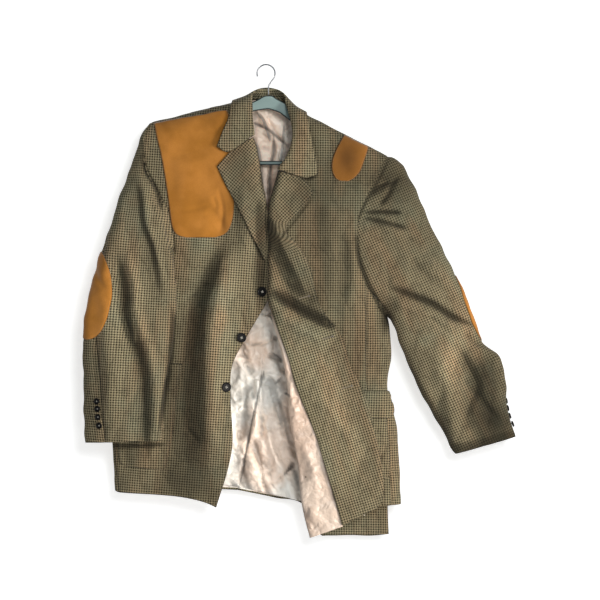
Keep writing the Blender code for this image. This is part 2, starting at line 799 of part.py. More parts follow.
def build_body(jacket):
    for name, rows, face, hem, gap, across, down in (
        ("front_right", FRONT_RIGHT, -1, corner_droop, ARMHOLE_GAP_RIGHT, 9, 20),
        ("front_left", FRONT_LEFT, -1, corner_droop, ARMHOLE_GAP_LEFT, 9, 20),
        ("back_right", BACK_RIGHT, 1, hem_wave, ARMHOLE_GAP_RIGHT, 8, 18),
        ("back_left", BACK_LEFT, 1, hem_wave, ARMHOLE_GAP_LEFT, 8, 18),
    ):
        flipped = name in ("front_left", "back_right")
        surface = panel(rows, face, hem, gap)
        cloth(jacket, name, surface, across, down, CLOTH, "wool_check", flip=flipped, ease=1.5)
    cloth(jacket, "side_right", side_panel(SIDE_RIGHT, -1, ARMHOLE_RIGHT, 155, 205), 7, 12, CLOTH,
          "wool_check", flip=True)
    cloth(jacket, "side_left", side_panel(SIDE_LEFT, 1, ARMHOLE_LEFT, 145, 210), 7, 12, CLOTH, "wool_check")
    lining = -(CLOTH + 1.75 * LAID_GAP + SATIN)
    cloth(jacket, "lining_back_right", laid_on(LINING_BACK_RIGHT, 1, lining), 6, 14, SATIN, "satin_lining",
          ease=1.5)
    cloth(jacket, "lining_back_left", laid_on(LINING_BACK_LEFT, 1, lining), 6, 14, SATIN, "satin_lining",
          ease=1.5)


def build_turned_parts(jacket):
    lapel = folded_over(LAPEL_RIGHT, False, 5.5, 4.0, corners=(1,))
    cloth(jacket, "lapel_right", lapel, LAPEL_CUTS, 14, CLOTH, "wool_check")
    facing = folded_over(FACING_LEFT, True, 9.5, 4.0, corners=(1,))
    cloth(jacket, "facing_left", facing, FACING_CUTS, 32, CLOTH, "wool_check")
    strip = laid_on(LINING_FRONT_LEFT, -1, SATIN + 0.8 * LAID_GAP)
    cloth(jacket, "lining_front_left", strip, 2, 12, SATIN, "satin_lining")
    cloth(jacket, "collar", collar_surface, COLLAR_CUTS, 30, CLOTH, "wool_check", flip=True)


def build_trim(jacket):
    patch_lift = 1.5 * LAID_GAP + LEATHER
    pocket_lift = LAID_GAP + CLOTH
    flap_lift = pocket_lift + 1.7 * LAID_GAP + CLOTH
    cloth(jacket, "shoulder_patch_right", laid_on(PATCH_SHOULDER_RIGHT, -1, patch_lift), 8, 12, LEATHER,
          "suede_patch", ease=1.4)
    cloth(jacket, "shoulder_patch_left", laid_on(PATCH_SHOULDER_LEFT, -1, patch_lift), 4, 8, LEATHER,
          "suede_patch", ease=1.4)
    cloth(jacket, "pocket_right", laid_on(POCKET_RIGHT, -1, pocket_lift), 6, 6, CLOTH, "wool_check")
    cloth(jacket, "pocket_left", laid_on(POCKET_LEFT, -1, pocket_lift), 6, 6, CLOTH, "wool_check")
    cloth(jacket, "flap_right", laid_on(FLAP_RIGHT, -1, flap_lift), 6, 3, CLOTH, "wool_check")
    cloth(jacket, "flap_left", laid_on(FLAP_LEFT, -1, flap_lift), 6, 3, CLOTH, "wool_check")
    for number, (x, z) in enumerate(FRONT_BUTTONS, 1):
        normal = body_normal(x, z, -1)
        button(jacket, f"front_button_{number}", body_point(x, z, -1) + normal * 0.4, normal, FRONT_BUTTON)


def build_sleeve(jacket, side, rings, holes, hind, fore, patch, cuff, outward):
    last_ring = len(rings) - 1
    surface = sleeve(rings, holes)
    flipped = outward > 0
    under = tuple(value + 360 for value in hind)
    armpit = ARMPIT_GAP if side == "right" else 0.0
    head_gap = SLEEVE_HEAD_GAP_RIGHT if side == "right" else SLEEVE_HEAD_GAP_LEFT
    top = sleeve_part(surface, rings, hind, fore, head_gap, (0, armpit))
    cloth(jacket, f"sleeve_{side}_top", top, 10, 18, CLOTH, "wool_check", flip=flipped)
    lower = sleeve_part(surface, rings, fore, under, head_gap, (armpit, 0))
    cloth(jacket, f"sleeve_{side}_under", lower, 8, 18, CLOTH, "wool_check", flip=flipped)
    oval = elbow_patch(surface, patch, last_ring, outward)
    cloth(jacket, f"elbow_patch_{side}", oval, 10, 8, LEATHER, "suede_patch", flip=flipped)
    for number, (ring, degrees) in enumerate(cuff, 1):
        down = ring / last_ring
        normal = surface_normal(surface, degrees, down) * outward
        centre = surface(degrees, down) + normal * 0.2
        button(jacket, f"cuff_button_{side}_{number}", centre, normal, CUFF_BUTTON)


def main():
    clear_scene()
    jacket = new_collection("sport_jacket_on_hanger")
    build_body(jacket)
    build_turned_parts(jacket)
    build_trim(jacket)
    build_sleeve(jacket, "right", SLEEVE_RIGHT, ARMHOLE_RIGHT, HIND_SEAM_RIGHT, FORE_SEAM_RIGHT,
                 ELBOW_RIGHT, CUFF_BUTTONS_RIGHT, -1)
    build_sleeve(jacket, "left", SLEEVE_LEFT, ARMHOLE_LEFT, HIND_SEAM_LEFT, FORE_SEAM_LEFT,
                 ELBOW_LEFT, CUFF_BUTTONS_LEFT, 1)
    hanger_frame(jacket)
    hanger_hook(jacket)


main()
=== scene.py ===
# %% [markdown]
# # A wool check sport jacket on a hanger
# The jacket hangs from a thin plastic hanger. Its left front is turned back, so the facing and a strip
# of satin lining show, and its right front hangs with its outside out. Every piece of cloth here is made
# in the same way: a smooth surface gives the cut, a table of folds moves it in and out, and a Solidify
# modifier gives it a wall. The other way would be a cloth simulation, but then the folds would fall
# where the solver puts them, and this jacket's folds are its likeness.

# %% Load the frame
import json
from collections import namedtuple
from math import cos, pi, radians, sin

import bmesh
import bpy
import numpy as np
from mathutils import Matrix, Vector

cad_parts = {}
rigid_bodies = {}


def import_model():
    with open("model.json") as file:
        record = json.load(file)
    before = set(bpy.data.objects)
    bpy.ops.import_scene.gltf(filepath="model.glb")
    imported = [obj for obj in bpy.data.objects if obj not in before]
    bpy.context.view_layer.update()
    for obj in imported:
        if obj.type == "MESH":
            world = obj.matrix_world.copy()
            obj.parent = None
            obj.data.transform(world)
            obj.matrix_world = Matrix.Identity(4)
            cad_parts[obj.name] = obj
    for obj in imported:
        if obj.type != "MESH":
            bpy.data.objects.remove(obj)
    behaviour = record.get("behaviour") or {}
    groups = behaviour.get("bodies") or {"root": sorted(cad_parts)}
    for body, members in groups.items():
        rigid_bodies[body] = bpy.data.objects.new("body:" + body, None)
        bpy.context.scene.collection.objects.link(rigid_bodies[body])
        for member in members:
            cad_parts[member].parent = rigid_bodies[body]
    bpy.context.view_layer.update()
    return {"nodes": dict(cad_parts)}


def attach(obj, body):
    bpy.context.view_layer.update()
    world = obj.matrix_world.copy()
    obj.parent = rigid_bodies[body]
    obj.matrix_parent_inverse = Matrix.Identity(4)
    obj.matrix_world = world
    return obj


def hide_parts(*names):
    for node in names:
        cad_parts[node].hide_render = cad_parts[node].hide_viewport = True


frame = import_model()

print("frame:", len(frame["nodes"]), "nodes")

# %% [markdown]
# ## Smooth tables
# The cut of a jacket is a few measures at a few heights. A table holds them, one row for each height,
# and a cubic through the rows gives every place between. numpy works on whole grids at once, which is
# what makes a mesh of a hundred thousand points quick.

# %% A cubic through the rows of a table
MM = 0.001


def cubic(keys, row, at, corners=()):
    """The values of row(i) at a key: smooth between rows, sharp at the rows named as corners."""
    last = len(keys) - 1
    at = np.clip(np.asarray(at, float), keys[0], keys[-1])
    k = np.clip(np.searchsorted(keys, at, side="right") - 1, 0, last - 1)
    span = (keys[k + 1] - keys[k])[..., None]
    f = (at - keys[k])[..., None] / span
    straight = row(k + 1) - row(k)

    def slope(i):
        before = np.maximum(i - 1, 0)
        after = np.minimum(i + 1, last)
        smooth = (row(after) - row(before)) / (keys[after] - keys[before])[..., None] * span
        sharp = (i == 0) | (i == last) | np.isin(i, corners)
        return np.where(sharp[..., None], straight, smooth)

    bend = 2 * f**3 - 3 * f**2
    return (row(k) * (bend + 1) - row(k + 1) * bend
            + slope(k) * (f**3 - 2 * f**2 + f) + slope(k + 1) * (f**3 - f**2))


def through(keys, rows, at, corners=()):
    """Every column of a table's rows at a key."""
    rows = np.asarray(rows, float)
    return np.moveaxis(cubic(np.asarray(keys, float), lambda i: rows[i], at, corners), -1, 0)


def along(rows, t, corners=()):
    """The same for rows evenly counted from 0 to 1."""
    last = len(rows) - 1
    return through(np.arange(last + 1), rows, np.asarray(t, float) * last, corners)


def mix(a, b, f):
    return a + (b - a) * f


def soft_step(value, low=0.0, high=1.0):
    f = np.clip((value - low) / (high - low), 0, 1)
    return f * f * (3 - 2 * f)


def stacked(x, y, z):
    return np.stack(np.broadcast_arrays(x, y, z), axis=-1)


def table(kind, *rows):
    """Rows whose columns have names."""
    return [kind(*row) for row in rows]


# %% [markdown]
# ## The body
# A jacket on a hanger is one flattened tube: nearly flat in front and behind, round at the sides, and
# closed along the shoulders by a ridge. One function gives its depth at any place, so a pocket or a
# patch lies on a panel because it is made from the same points, moved out.

# %% The body's outline and depth, from the shoulders down (mm)
SLOPE_RIGHT = 0.246
SLOPE_LEFT = 0.51
NECK_RIGHT = (-54.0, -73.0)
NECK_LEFT = (79.0, -99.5)
NECK_TOP = -69.5
NECK_MIDDLE = 0.43
NECK_DEPTH = 22.0
RIDGE_ROUND = 45.0
SQUARENESS = 2.6
TUBE_FULLNESS = 0.85

Level = namedtuple("Level", "z left right front back")
LEVELS = table(Level,
    (-100, -300, 300, 36, 36), (-205, -300, 298, 38, 39), (-300, -262, 276, 38, 40),
    (-383, -240, 256, 38, 40), (-484, -269, 246, 37, 39), (-540, -286, 254, 36, 38),
    (-590, -300, 258, 35, 37), (-670, -314, 251, 33, 35), (-750, -318, 270, 31, 33),
    (-873, -311, 276, 29, 31), (-970, -309, 278, 28, 30),
)


def level_at(z):
    return Level(*through([-row.z for row in LEVELS], LEVELS, -np.asarray(z, float)))


def neck_share(x):
    return np.clip((x - NECK_RIGHT[0]) / (NECK_LEFT[0] - NECK_RIGHT[0]), 0, 1)


def shoulder_top(x):
    """Height of the shoulder ridge, with the neck's curve between the neck points."""
    f = neck_share(x)
    neck = mix(NECK_RIGHT[1], NECK_LEFT[1], f)
    neck = neck + (NECK_TOP - mix(NECK_RIGHT[1], NECK_LEFT[1], NECK_MIDDLE)) * np.sin(pi * f)
    right = NECK_RIGHT[1] + (x - NECK_RIGHT[0]) * SLOPE_RIGHT
    left = NECK_LEFT[1] - (x - NECK_LEFT[0]) * SLOPE_LEFT
    return np.where(x < NECK_RIGHT[0], right, np.where(x > NECK_LEFT[0], left, neck))


def body_depth(x, z, face):
    """Distance of the front (face -1) or the back (face 1) from the hanger's plane."""
    here = level_at(z)
    middle = (here.left + here.right) / 2
    across = np.minimum(np.abs(x - middle) / ((here.right - here.left) / 2), 1.0)
    full = here.front if face < 0 else here.back
    scoop = NECK_DEPTH * np.sin(pi * neck_share(x)) if face > 0 else 0.0
    drop = np.maximum(shoulder_top(x) - z + scoop, 0.0)
    rest = np.maximum(0.0, 1 - drop / RIDGE_ROUND)
    return full * (1 - across**SQUARENESS) ** (1 / SQUARENESS) * np.sqrt(1 - rest**2)


def body_point(x, z, face):
    return stacked(x, face * body_depth(x, z, face), z)


def round_body(angle, z):
    """A place on the tube: 0 at the left side seam, a quarter turn in front, a half turn at the right."""
    here = level_at(z)
    width = (here.right - here.left) / 2
    c = np.cos(angle)
    s = np.sin(angle)
    power = 2 / SQUARENESS
    deep = np.where(s > 0, here.front, here.back)
    x = (here.left + here.right) / 2 + width * np.abs(c) ** power * np.sign(c)
    return stacked(x, -deep * np.abs(s) ** power * np.sign(s), z)


def angle_at(x, z):
    here = level_at(z)
    across = (x - (here.left + here.right) / 2) / ((here.right - here.left) / 2)
    return np.arccos(np.minimum(np.abs(across), 1.0) ** (SQUARENESS / 2) * np.sign(across))


print("body: front stands", round(float(body_depth(0.0, -400.0, -1)), 1), "mm from the hanger")

# %% [markdown]
# ## The cut of the body
# Fronts, backs and side panels are each a table of rows from the side to the inner edge. The seams are
# nearly closed here: a hair's breadth is left, and the cloth dips into it as it does at a pressed seam.

# %% Tables of the body's panels (mm)
SEAM = 0.08

Row = namedtuple("Row", "side_x side_z edge_x edge_z drop", defaults=(0,))
FRONT_RIGHT = table(Row,
    (-240, -119, -56, -74), (-251, -155, -46, -112), (-248, -205, -33, -155), (-224, -258, -16, -207),
    (-202, -300, -3, -258), (-192, -345, 5, -310), (-191, -386, 10, -365), (-236, -430, 12, -414),
    (-261, -484, 12, -458), (-274, -520, 0, -492), (-288, -565, -37, -556), (-300, -617, -68, -617),
    (-309, -680, -72, -680), (-313, -771, -68, -771), (-310, -832, -78, -832), (-304, -880, -102, -890, 20),
)
FRONT_LEFT = table(Row,
    (250, -187, 81, -101), (238, -206, 75, -118), (222, -240, 68, -145), (205, -275, 60, -175),
    (191, -312, 44, -215), (187, -350, 28, -262), (193, -410, 22, -320), (205, -451, 22, -380),
    (205, -500, 22, -440), (205, -545, 24, -500), (205, -605, 42, -575), (208, -671, 54, -650),
    (228, -740, 60, -730), (246, -800, 74, -800), (256, -860, 84, -870), (257, -906, 96, -930),
)
CENTRE_SEAM = [
    (3, -71), (3, -120), (2, -175), (1, -230), (0, -285), (0, -340), (-1, -390), (-2, -460), (-4, -530),
    (-8, -605), (-16, -680), (-36, -775), (-59, -878),
]


def back_rows(*sides):
    """Rows of a back: its own side's x, z and drop, and the centre seam that both backs share."""
    return [Row(*side[:2], *seam, *side[2:]) for side, seam in zip(sides, CENTRE_SEAM)]


BACK_RIGHT = back_rows(
    (-240, -119), (-248, -155), (-242, -205), (-226, -258), (-211, -300), (-202, -345), (-202, -383),
    (-214, -450), (-224, -520), (-236, -600), (-246, -680), (-252, -770), (-256, -868),
)
BACK_LEFT = back_rows(
    (250, -187), (246, -216), (236, -265), (226, -310), (219, -355), (219, -400), (224, -440),
    (226, -500), (227, -560), (230, -630), (236, -710), (248, -830, 8), (254, -968, 27),
)
Seam = namedtuple("Seam", "front_x front_z back_x back_z")
SIDE_RIGHT = table(Seam,
    (-193, -388, -203, -389), (-236, -430, -210, -430), (-261, -484, -219, -484), (-288, -565, -231, -565),
    (-307, -660, -244, -660), (-313, -771, -254, -771), (-310, -832, -258, -820), (-304, -880, -262, -866),
)
SIDE_LEFT = table(Seam,
    (205, -451, 224, -440), (205, -500, 226, -500), (205, -545, 227, -560), (205, -605, 229, -630),
    (208, -671, 236, -710), (228, -740, 248, -760), (246, -800, 253, -820), (256, -860, 251, -865),
    (257, -906, 250, -903),
)
Hole = namedtuple("Hole", "angle x z")
ARMHOLE_RIGHT = table(Hole,
    (0, -240, -119), (30, -251, -155), (55, -248, -205), (80, -224, -258), (105, -202, -300),
    (130, -193, -345), (155, -193, -380), (180, -233, -389), (205, -202, -383), (230, -202, -345),
    (255, -211, -300), (280, -226, -258), (305, -242, -205), (330, -248, -155), (360, -240, -119),
)
ARMHOLE_LEFT = table(Hole,
    (0, 250, -187), (25, 238, -206), (45, 222, -240), (65, 205, -275), (82, 191, -312), (100, 187, -350),
    (125, 193, -410), (145, 205, -451), (180, 244, -516), (210, 224, -440), (230, 219, -400),
    (250, 219, -355), (275, 226, -310), (300, 236, -265), (330, 246, -216), (360, 250, -187),
)

print("rows of the fronts and backs:", len(FRONT_RIGHT + FRONT_LEFT + BACK_RIGHT + BACK_LEFT))

# %% Surfaces of the body's panels
UNDERARM_GAP = 1.0
RIDGE_FADE = 5
UNDERARM_FADE = 2.5


def corner_droop(s):
    """The front's hem falls towards its corner."""
    return s**5


HEM_WAVE_AT = [0.0, 0.12, 0.25, 0.41, 0.46, 0.56, 0.75, 1.0]
HEM_WAVE = [(0.0,), (0.55,), (0.96,), (1.52,), (1.56,), (-0.3,), (-0.24,), (0.0,)]


def hem_wave(s):
    """The left back's hem hangs low towards the side vent and steps up towards the centre seam."""
    return through(HEM_WAVE_AT, HEM_WAVE, s)[0]


def panel(rows, face, hem_shape):
    """An outer panel of the body; s runs from the side to the inner edge and t down, both 0 to 1."""
    first = rows[0]

    def place(s, t):
        row = Row(*along(rows, t))
        inset = SEAM / np.maximum(np.abs(row.edge_x - row.side_x), 20)
        s = mix(inset, 1 - SEAM / 200, s)
        x = mix(row.side_x, row.edge_x, s)
        z = mix(row.side_z, row.edge_z, s) - row.drop * hem_shape(np.clip(s, 0, 1))
        on_ridge = shoulder_top(mix(first.side_x, first.edge_x, s)) - mix(first.side_z, first.edge_z, s)
        z = z + on_ridge * np.maximum(0.0, 1 - RIDGE_FADE * np.clip(t, 0, 1))
        return body_point(x, z, face)
    return place


def armhole_point(holes, turn):
    turn = np.mod(turn, 360)
    row = Hole(*through([row.angle for row in holes], holes, turn))
    front = body_depth(row.x, row.z, -1)
    back = body_depth(row.x, row.z, 1)
    return stacked(row.x, np.where(turn < 180, -front, back), row.z)


def side_panel(rows, turn, holes, first_degrees, last_degrees):
    """A side panel, round the body's edge from the front seam to the back seam."""
    def place(s, t):
        t = np.clip(t, 0, 1)
        fade = np.maximum(0.0, 1 - t * UNDERARM_FADE) ** 2
        t = mix(UNDERARM_GAP / 500, 1, t)
        s = mix(SEAM / 60, 1 - SEAM / 60, s)
        row = Seam(*along(rows, t))
        front = angle_at(row.front_x, row.front_z)
        back = angle_at(row.back_x, row.back_z)
        angle = mix(front, 2 * pi - back if turn < 0 else -back, s)
        z = mix(row.front_z, row.back_z, s)
        under_arm = armhole_point(holes, mix(first_degrees, last_degrees, s))[..., 2]
        hollow = under_arm - mix(rows[0].front_z, rows[0].back_z, s)
        return round_body(angle, z + hollow * fade)
    return place


def laid_on(rows, face, corners=()):
    """A piece lying on the body: each row of its table runs from left to right."""
    def place(s, t):
        left_x, left_z, right_x, right_z = along(rows, t, corners)
        return body_point(mix(left_x, right_x, s), mix(left_z, right_z, s), face)
    return place


# %% [markdown]
# ## Folds
# A fold in hanging cloth is a long soft ridge or trough. Each row of a fold table gives its path, as
# seen from the front and read downwards, how far it spreads to the viewer's left and right, and its
# height. Unlike spreads give the steep side and the long side that real folds have. A path that runs
# to the right instead has its first spread below it and its second one above.

# %% The height of the folds at any place
Fold = namedtuple("Fold", "path left right height")
FOLD_END = 0.28
FOLD_STEPS = 18
FOLD_REACH = 2.7


def folds(*rows):
    """Each row is the x and z of its path's points, then its two spreads and its height."""
    return [Fold(np.reshape(path, (-1, 2)), *shape) for path, *shape in rows]


def one_fold(fold, x, z):
    """Height of one ridge or trough at flat arrays of places."""
    line = np.stack(along(fold.path, np.linspace(0, 1, FOLD_STEPS)), axis=-1)
    reach = FOLD_REACH * max(fold.left, fold.right)
    low = line.min(axis=0) - reach
    high = line.max(axis=0) + reach
    near = np.flatnonzero((x > low[0]) & (x < high[0]) & (z > low[1]) & (z < high[1]))
    height = np.zeros_like(x)
    if len(near) == 0:
        return height
    start = line[:-1]
    step = np.diff(line, axis=0)
    length = np.maximum(np.hypot(step[:, 0], step[:, 1]), 1e-6)
    from_start = np.stack([x[near], z[near]], axis=-1)[:, None, :] - start
    share = np.clip((from_start * step).sum(-1) / length**2, 0, 1)
    off = from_start - share[..., None] * step
    distance = np.hypot(off[..., 0], off[..., 1])
    k = distance.argmin(axis=1)
    pick = (np.arange(len(near)), k)
    side = step[k, 0] * off[pick][:, 1] - step[k, 1] * off[pick][:, 0]
    run = np.concatenate([[0.0], np.cumsum(length)])
    position = (run[k] + share[pick] * length[k]) / run[-1]
    spread = np.where(side > 0, fold.right, fold.left)
    ends = soft_step(position / FOLD_END) * soft_step((1 - position) / FOLD_END)
    height[near] = fold.height * ends * np.exp(-((distance[pick] / spread) ** 2))
    return height


def fold_height(rows, x, z):
    flat_x = np.asarray(x, float).ravel()
    flat_z = np.asarray(z, float).ravel()
    total = sum((one_fold(fold, flat_x, flat_z) for fold in rows), np.zeros_like(flat_x))
    return total.reshape(np.shape(x))


WAVES = 7
CREASES = 4


def ripple(x, z, seed, size, height):
    """Gentle unevenness: a few waves of about one size in random directions."""
    random = np.random.default_rng(seed)
    total = np.zeros(np.shape(x))
    for _ in range(WAVES):
        turn = random.uniform(0, 2 * pi)
        length = size * random.uniform(0.7, 1.5)
        phase = random.uniform(0, 2 * pi)
        total += np.sin(2 * pi * (x * cos(turn) + z * sin(turn)) / length + phase)
    return total * height / WAVES**0.5


def crumple(x, z, seed, size, height):
    """Creases with sharp crests, as in thin satin: folded waves whose place is itself bent."""
    bent_x = x + ripple(x, z, seed + 50, size * 1.7, size * 0.35)
    bent_z = z + ripple(x, z, seed + 80, size * 1.7, size * 0.35)
    random = np.random.default_rng(seed)
    total = np.zeros(np.shape(x))
    for _ in range(CREASES):
        turn = random.uniform(0, 2 * pi)
        length = size * random.uniform(0.8, 1.8)
        phase = random.uniform(0, 2 * pi)
        total += 0.64 - np.abs(np.sin(pi * (bent_x * cos(turn) + bent_z * sin(turn)) / length + phase))
    return total * height / 2


# %% Folds of the body's front, shared by all that lies on it (mm)
FRONT_FOLDS = folds(
    # the notch between collar and lapel
    ((80, -237, 92, -233, 106, -229), 2.4, 2.4, -4),
    # the right front: the long drape from the chest to the hem
    ((-34, -300, -64, -385, -88, -450, -104, -520, -108, -600, -108, -700, -102, -780, -88, -880), 30, 34,
     17),
    ((-80, -330, -112, -420, -142, -510, -158, -600, -164, -700, -158, -800), 24, 20, -8),
    ((-200, -600, -206, -680, -200, -740, -175, -790), 30, 34, -6),
    ((-115, -735, -166, -781, -197, -832, -216, -910), 45, 26, -8),
    ((-184, -360, -182, -430, -192, -520), 18, 28, 5), ((-235, -650, -240, -760, -245, -900), 30, 40, 5),
    ((-285, -640, -288, -760, -285, -880), 16, 20, -4),
    # small creases on it
    ((-140, -449, -116, -452, -92, -450), 4, 5, -4), ((-139, -505, -121, -504, -105, -505), 4, 5, -3),
    ((-170, -742, -152, -760, -132, -776), 4, 5, -4), ((-72, -478, -62, -515, -52, -552), 9, 9, 4),
    ((-55, -500, -47, -525, -42, -550), 6, 5, -5), ((-46, -545, -38, -565, -34, -590), 5, 5, -4),
    ((-94, -520, -88, -580, -92, -660), 8, 12, 3), ((-84, -640, -86, -720, -92, -800), 10, 8, -3),
    # by the front edge, under the first button
    ((-31, -350, -23, -443, -19, -484, -10, -530), 6, 26, -6),
    # the lapel and the chest
    ((-52, -240, -46, -290, -40, -350, -40, -420), 16, 18, 8),
    ((-98, -250, -88, -300, -92, -345), 5, 4, -3), ((-60, -190, -44, -240, -30, -300), 16, 22, 4),
    ((-178, -185, -172, -225, -178, -275), 18, 30, 4), ((-150, -110, -128, -150, -112, -190), 22, 18, -3),
    ((-112, -272, -104, -280, -100, -300), 5, 4, -2.5), ((-120, -290, -98, -320, -82, -350), 14, 10, -4),
    # the left front's chest
    ((107, -280, 109, -340, 104, -400), 20, 16, -4), ((132, -350, 137, -430, 138, -480), 15, 14, 4),
    ((160, -330, 160, -420, 154, -500), 12, 10, -5), ((176, -350, 180, -430, 172, -510), 9, 12, 4),
    ((86, -415, 104, -417, 120, -416), 2.6, 3.2, -2), ((158, -474, 156, -530, 154, -586), 2.2, 2.2, -2),
    ((120, -500, 130, -570, 150, -640), 10, 12, 3), ((190, -560, 196, -610, 188, -660), 8, 10, 3),
    # the pocket and the hip under it
    ((222, -748, 230, -757, 240, -770), 4, 5, -4), ((230, -816, 243, -797, 256, -780), 4, 5, -4),
    ((212, -760, 222, -800, 226, -850), 8, 8, 3), ((230, -690, 238, -720, 232, -750), 8, 8, 2.5),
    ((240, -860, 236, -890, 240, -920), 6, 7, -3),
)

# %% Folds of the turned-back facing (mm)
FACING_FOLDS = folds(
    ((12, -290, 36, -335, 62, -385, 88, -436, 108, -480), 24, 13, 10),
    ((2, -320, 16, -375, 38, -425, 64, -468), 18, 14, -6),
    ((2, -456, 36, -478, 76, -504, 114, -524, 146, -546), 9, 9, -16),
    ((4, -494, 40, -520, 86, -548, 130, -570), 16, 13, 11),
    ((20, -424, 58, -448, 100, -474, 134, -500), 10, 12, 7), ((30, -400, 34, -430, 60, -458), 10, 14, 3),
    ((70, -560, 100, -600, 122, -650), 16, 14, -4), ((84, -575, 126, -640, 150, -690), 12, 14, 4),
    ((82, -690, 124, -755, 176, -806), 14, 12, -5), ((104, -672, 156, -745, 204, -806), 12, 12, 5),
    ((146, -640, 182, -730, 214, -810), 10, 9, -4),
    ((163, -590, 198, -690, 224, -790, 232, -900), 7, 8, 3.5),
    ((104, -800, 136, -850, 160, -910), 14, 16, 4), ((150, -870, 196, -856, 236, -838), 9, 12, -4),
    ((176, -900, 206, -890, 232, -872), 8, 8, 3),
)

# %% Folds of the sleeves' fronts (mm)
SLEEVE_RIGHT_FOLDS = folds(
    ((-280, -205, -292, -300, -318, -400, -327, -470, -322, -560, -316, -660, -318, -810), 18, 20, 9),
    ((-313, -340, -306, -402, -296, -443, -292, -477, -292, -510, -280, -548, -264, -593, -254, -655,
     -252, -757, -250, -830), 13, 12, -8),
    ((-291, -340, -280, -402, -268, -443, -263, -477, -262, -512, -249, -550, -233, -595, -224, -655,
     -223, -757, -222, -830), 11, 10, 9),
    ((-262, -215, -246, -272, -240, -327, -222, -375, -211, -422, -202, -480), 8, 7, 6),
    ((-252, -176, -247, -211, -230, -240, -216, -270, -206, -316), 5, 6, -6),
    ((-240, -178, -231, -184, -222, -192), 3, 3, -2.5), ((-241, -190, -234, -196, -226, -204), 3, 3, -2.5),
    ((-242, -250, -232, -280, -220, -316), 4, 4, 3), ((-276, -512, -268, -546, -266, -576), 6, 5, 5),
    ((-288, -516, -281, -560, -262, -604), 5, 5, -5), ((-224, -500, -214, -560, -206, -640), 10, 12, 3),
    ((-352, -540, -344, -600, -346, -680), 9, 8, -3), ((-358, -400, -340, -440, -318, -470), 7, 7, -3),
)
SLEEVE_LEFT_FOLDS = folds(
    ((466, -590, 480, -622, 488, -660, 490, -690), 16, 14, 5),
    ((194, -307, 232, -303, 286, -304), 5, 5, -7), ((190, -312, 232, -322, 296, -340), 6, 6, -7),
    ((210, -272, 232, -252, 262, -240), 4, 5, -3.5),
    ((226, -296, 250, -270, 262, -244, 284, -226), 6, 6, -5), ((210, -285, 238, -264, 264, -246), 7, 7, 4),
    ((216, -332, 250, -336, 300, -354), 8, 8, 5), ((236, -284, 266, -288, 300, -290), 9, 9, 4),
    ((264, -340, 292, -356, 325, -377), 5, 6, -3), ((286, -390, 340, -443, 395, -482), 7, 9, -4),
    ((300, -372, 345, -420, 392, -456), 9, 9, 3.5),
    ((236, -448, 288, -470, 343, -492, 384, -518, 440, -540), 8, 8, -10),
    ((244, -474, 300, -500, 352, -524, 400, -556), 12, 9, 7),
    ((256, -425, 310, -454, 380, -488), 12, 12, 3), ((326, -510, 356, -536, 390, -560), 5, 7, -4.5),
    ((404, -548, 426, -566, 446, -582), 7, 7, -7), ((416, -586, 450, -592, 482, -616), 10, 10, 6),
    ((338, -570, 352, -610, 375, -676, 394, -800), 15, 22, 8),
    ((376, -560, 415, -625, 441, -680, 470, -730), 13, 10, -6),
    ((396, -642, 435, -681, 490, -744), 5, 6, -4.5), ((425, -596, 462, -650, 494, -730), 13, 15, 5),
    ((444, -610, 453, -632, 462, -652), 5, 5, 3), ((420, -740, 440, -770, 450, -800), 12, 12, -3),
    ((352, -700, 362, -740, 378, -790), 10, 8, -3),
)

# %% Folds of the hidden sides: the back, the sleeves' backs (mm)
BACK_FOLDS = folds(
    ((-170, -180, -150, -330, -165, -520, -150, -700, -165, -880), 26, 34, 7),
    ((-110, -150, -100, -320, -112, -480, -98, -640), 24, 18, -6),
    ((-60, -300, -52, -480, -66, -650, -80, -870), 20, 26, 5),
    ((60, -200, 72, -360, 58, -520, 80, -700, 70, -900), 22, 30, 6),
    ((118, -260, 124, -420, 112, -560, 130, -760), 22, 18, -6),
    ((170, -300, 176, -440, 166, -600, 186, -780, 180, -950), 20, 28, 6),
    ((-215, -400, -190, -440, -150, -455), 7, 9, -4), ((215, -450, 190, -480, 150, -492), 7, 9, -4),
    ((-120, -118, -60, -140, 0, -136, 70, -160), 10, 8, -4),
    ((-200, -520, -140, -545, -90, -548), 8, 10, -3), ((200, -560, 150, -590, 100, -596), 8, 10, -3),
    ((0, -110, 1, -290, -2, -460, -8, -600, -36, -775, -60, -880), 2.5, 2.5, -2.5),
)
SLEEVE_RIGHT_BACK_FOLDS = folds(
    ((-250, -200, -280, -300, -300, -420, -315, -560), 16, 14, 5),
    ((-215, -420, -262, -450, -330, -462), 6, 8, -5), ((-210, -520, -270, -545, -350, -540), 7, 8, -5),
    ((-212, -560, -280, -580, -350, -590), 8, 7, 4), ((-250, -600, -262, -690, -258, -800), 14, 14, 5),
    ((-300, -600, -306, -690, -300, -800), 12, 14, -5),
)
SLEEVE_LEFT_BACK_FOLDS = folds(
    ((270, -260, 330, -400, 380, -520), 18, 16, 5), ((270, -440, 320, -450, 390, -440), 6, 8, -5),
    ((290, -500, 350, -520, 430, -500), 7, 8, -6), ((300, -530, 370, -550, 440, -545), 8, 7, 5),
    ((360, -620, 390, -700, 410, -790), 14, 14, 6), ((420, -610, 446, -690, 470, -780), 12, 12, -5),
)

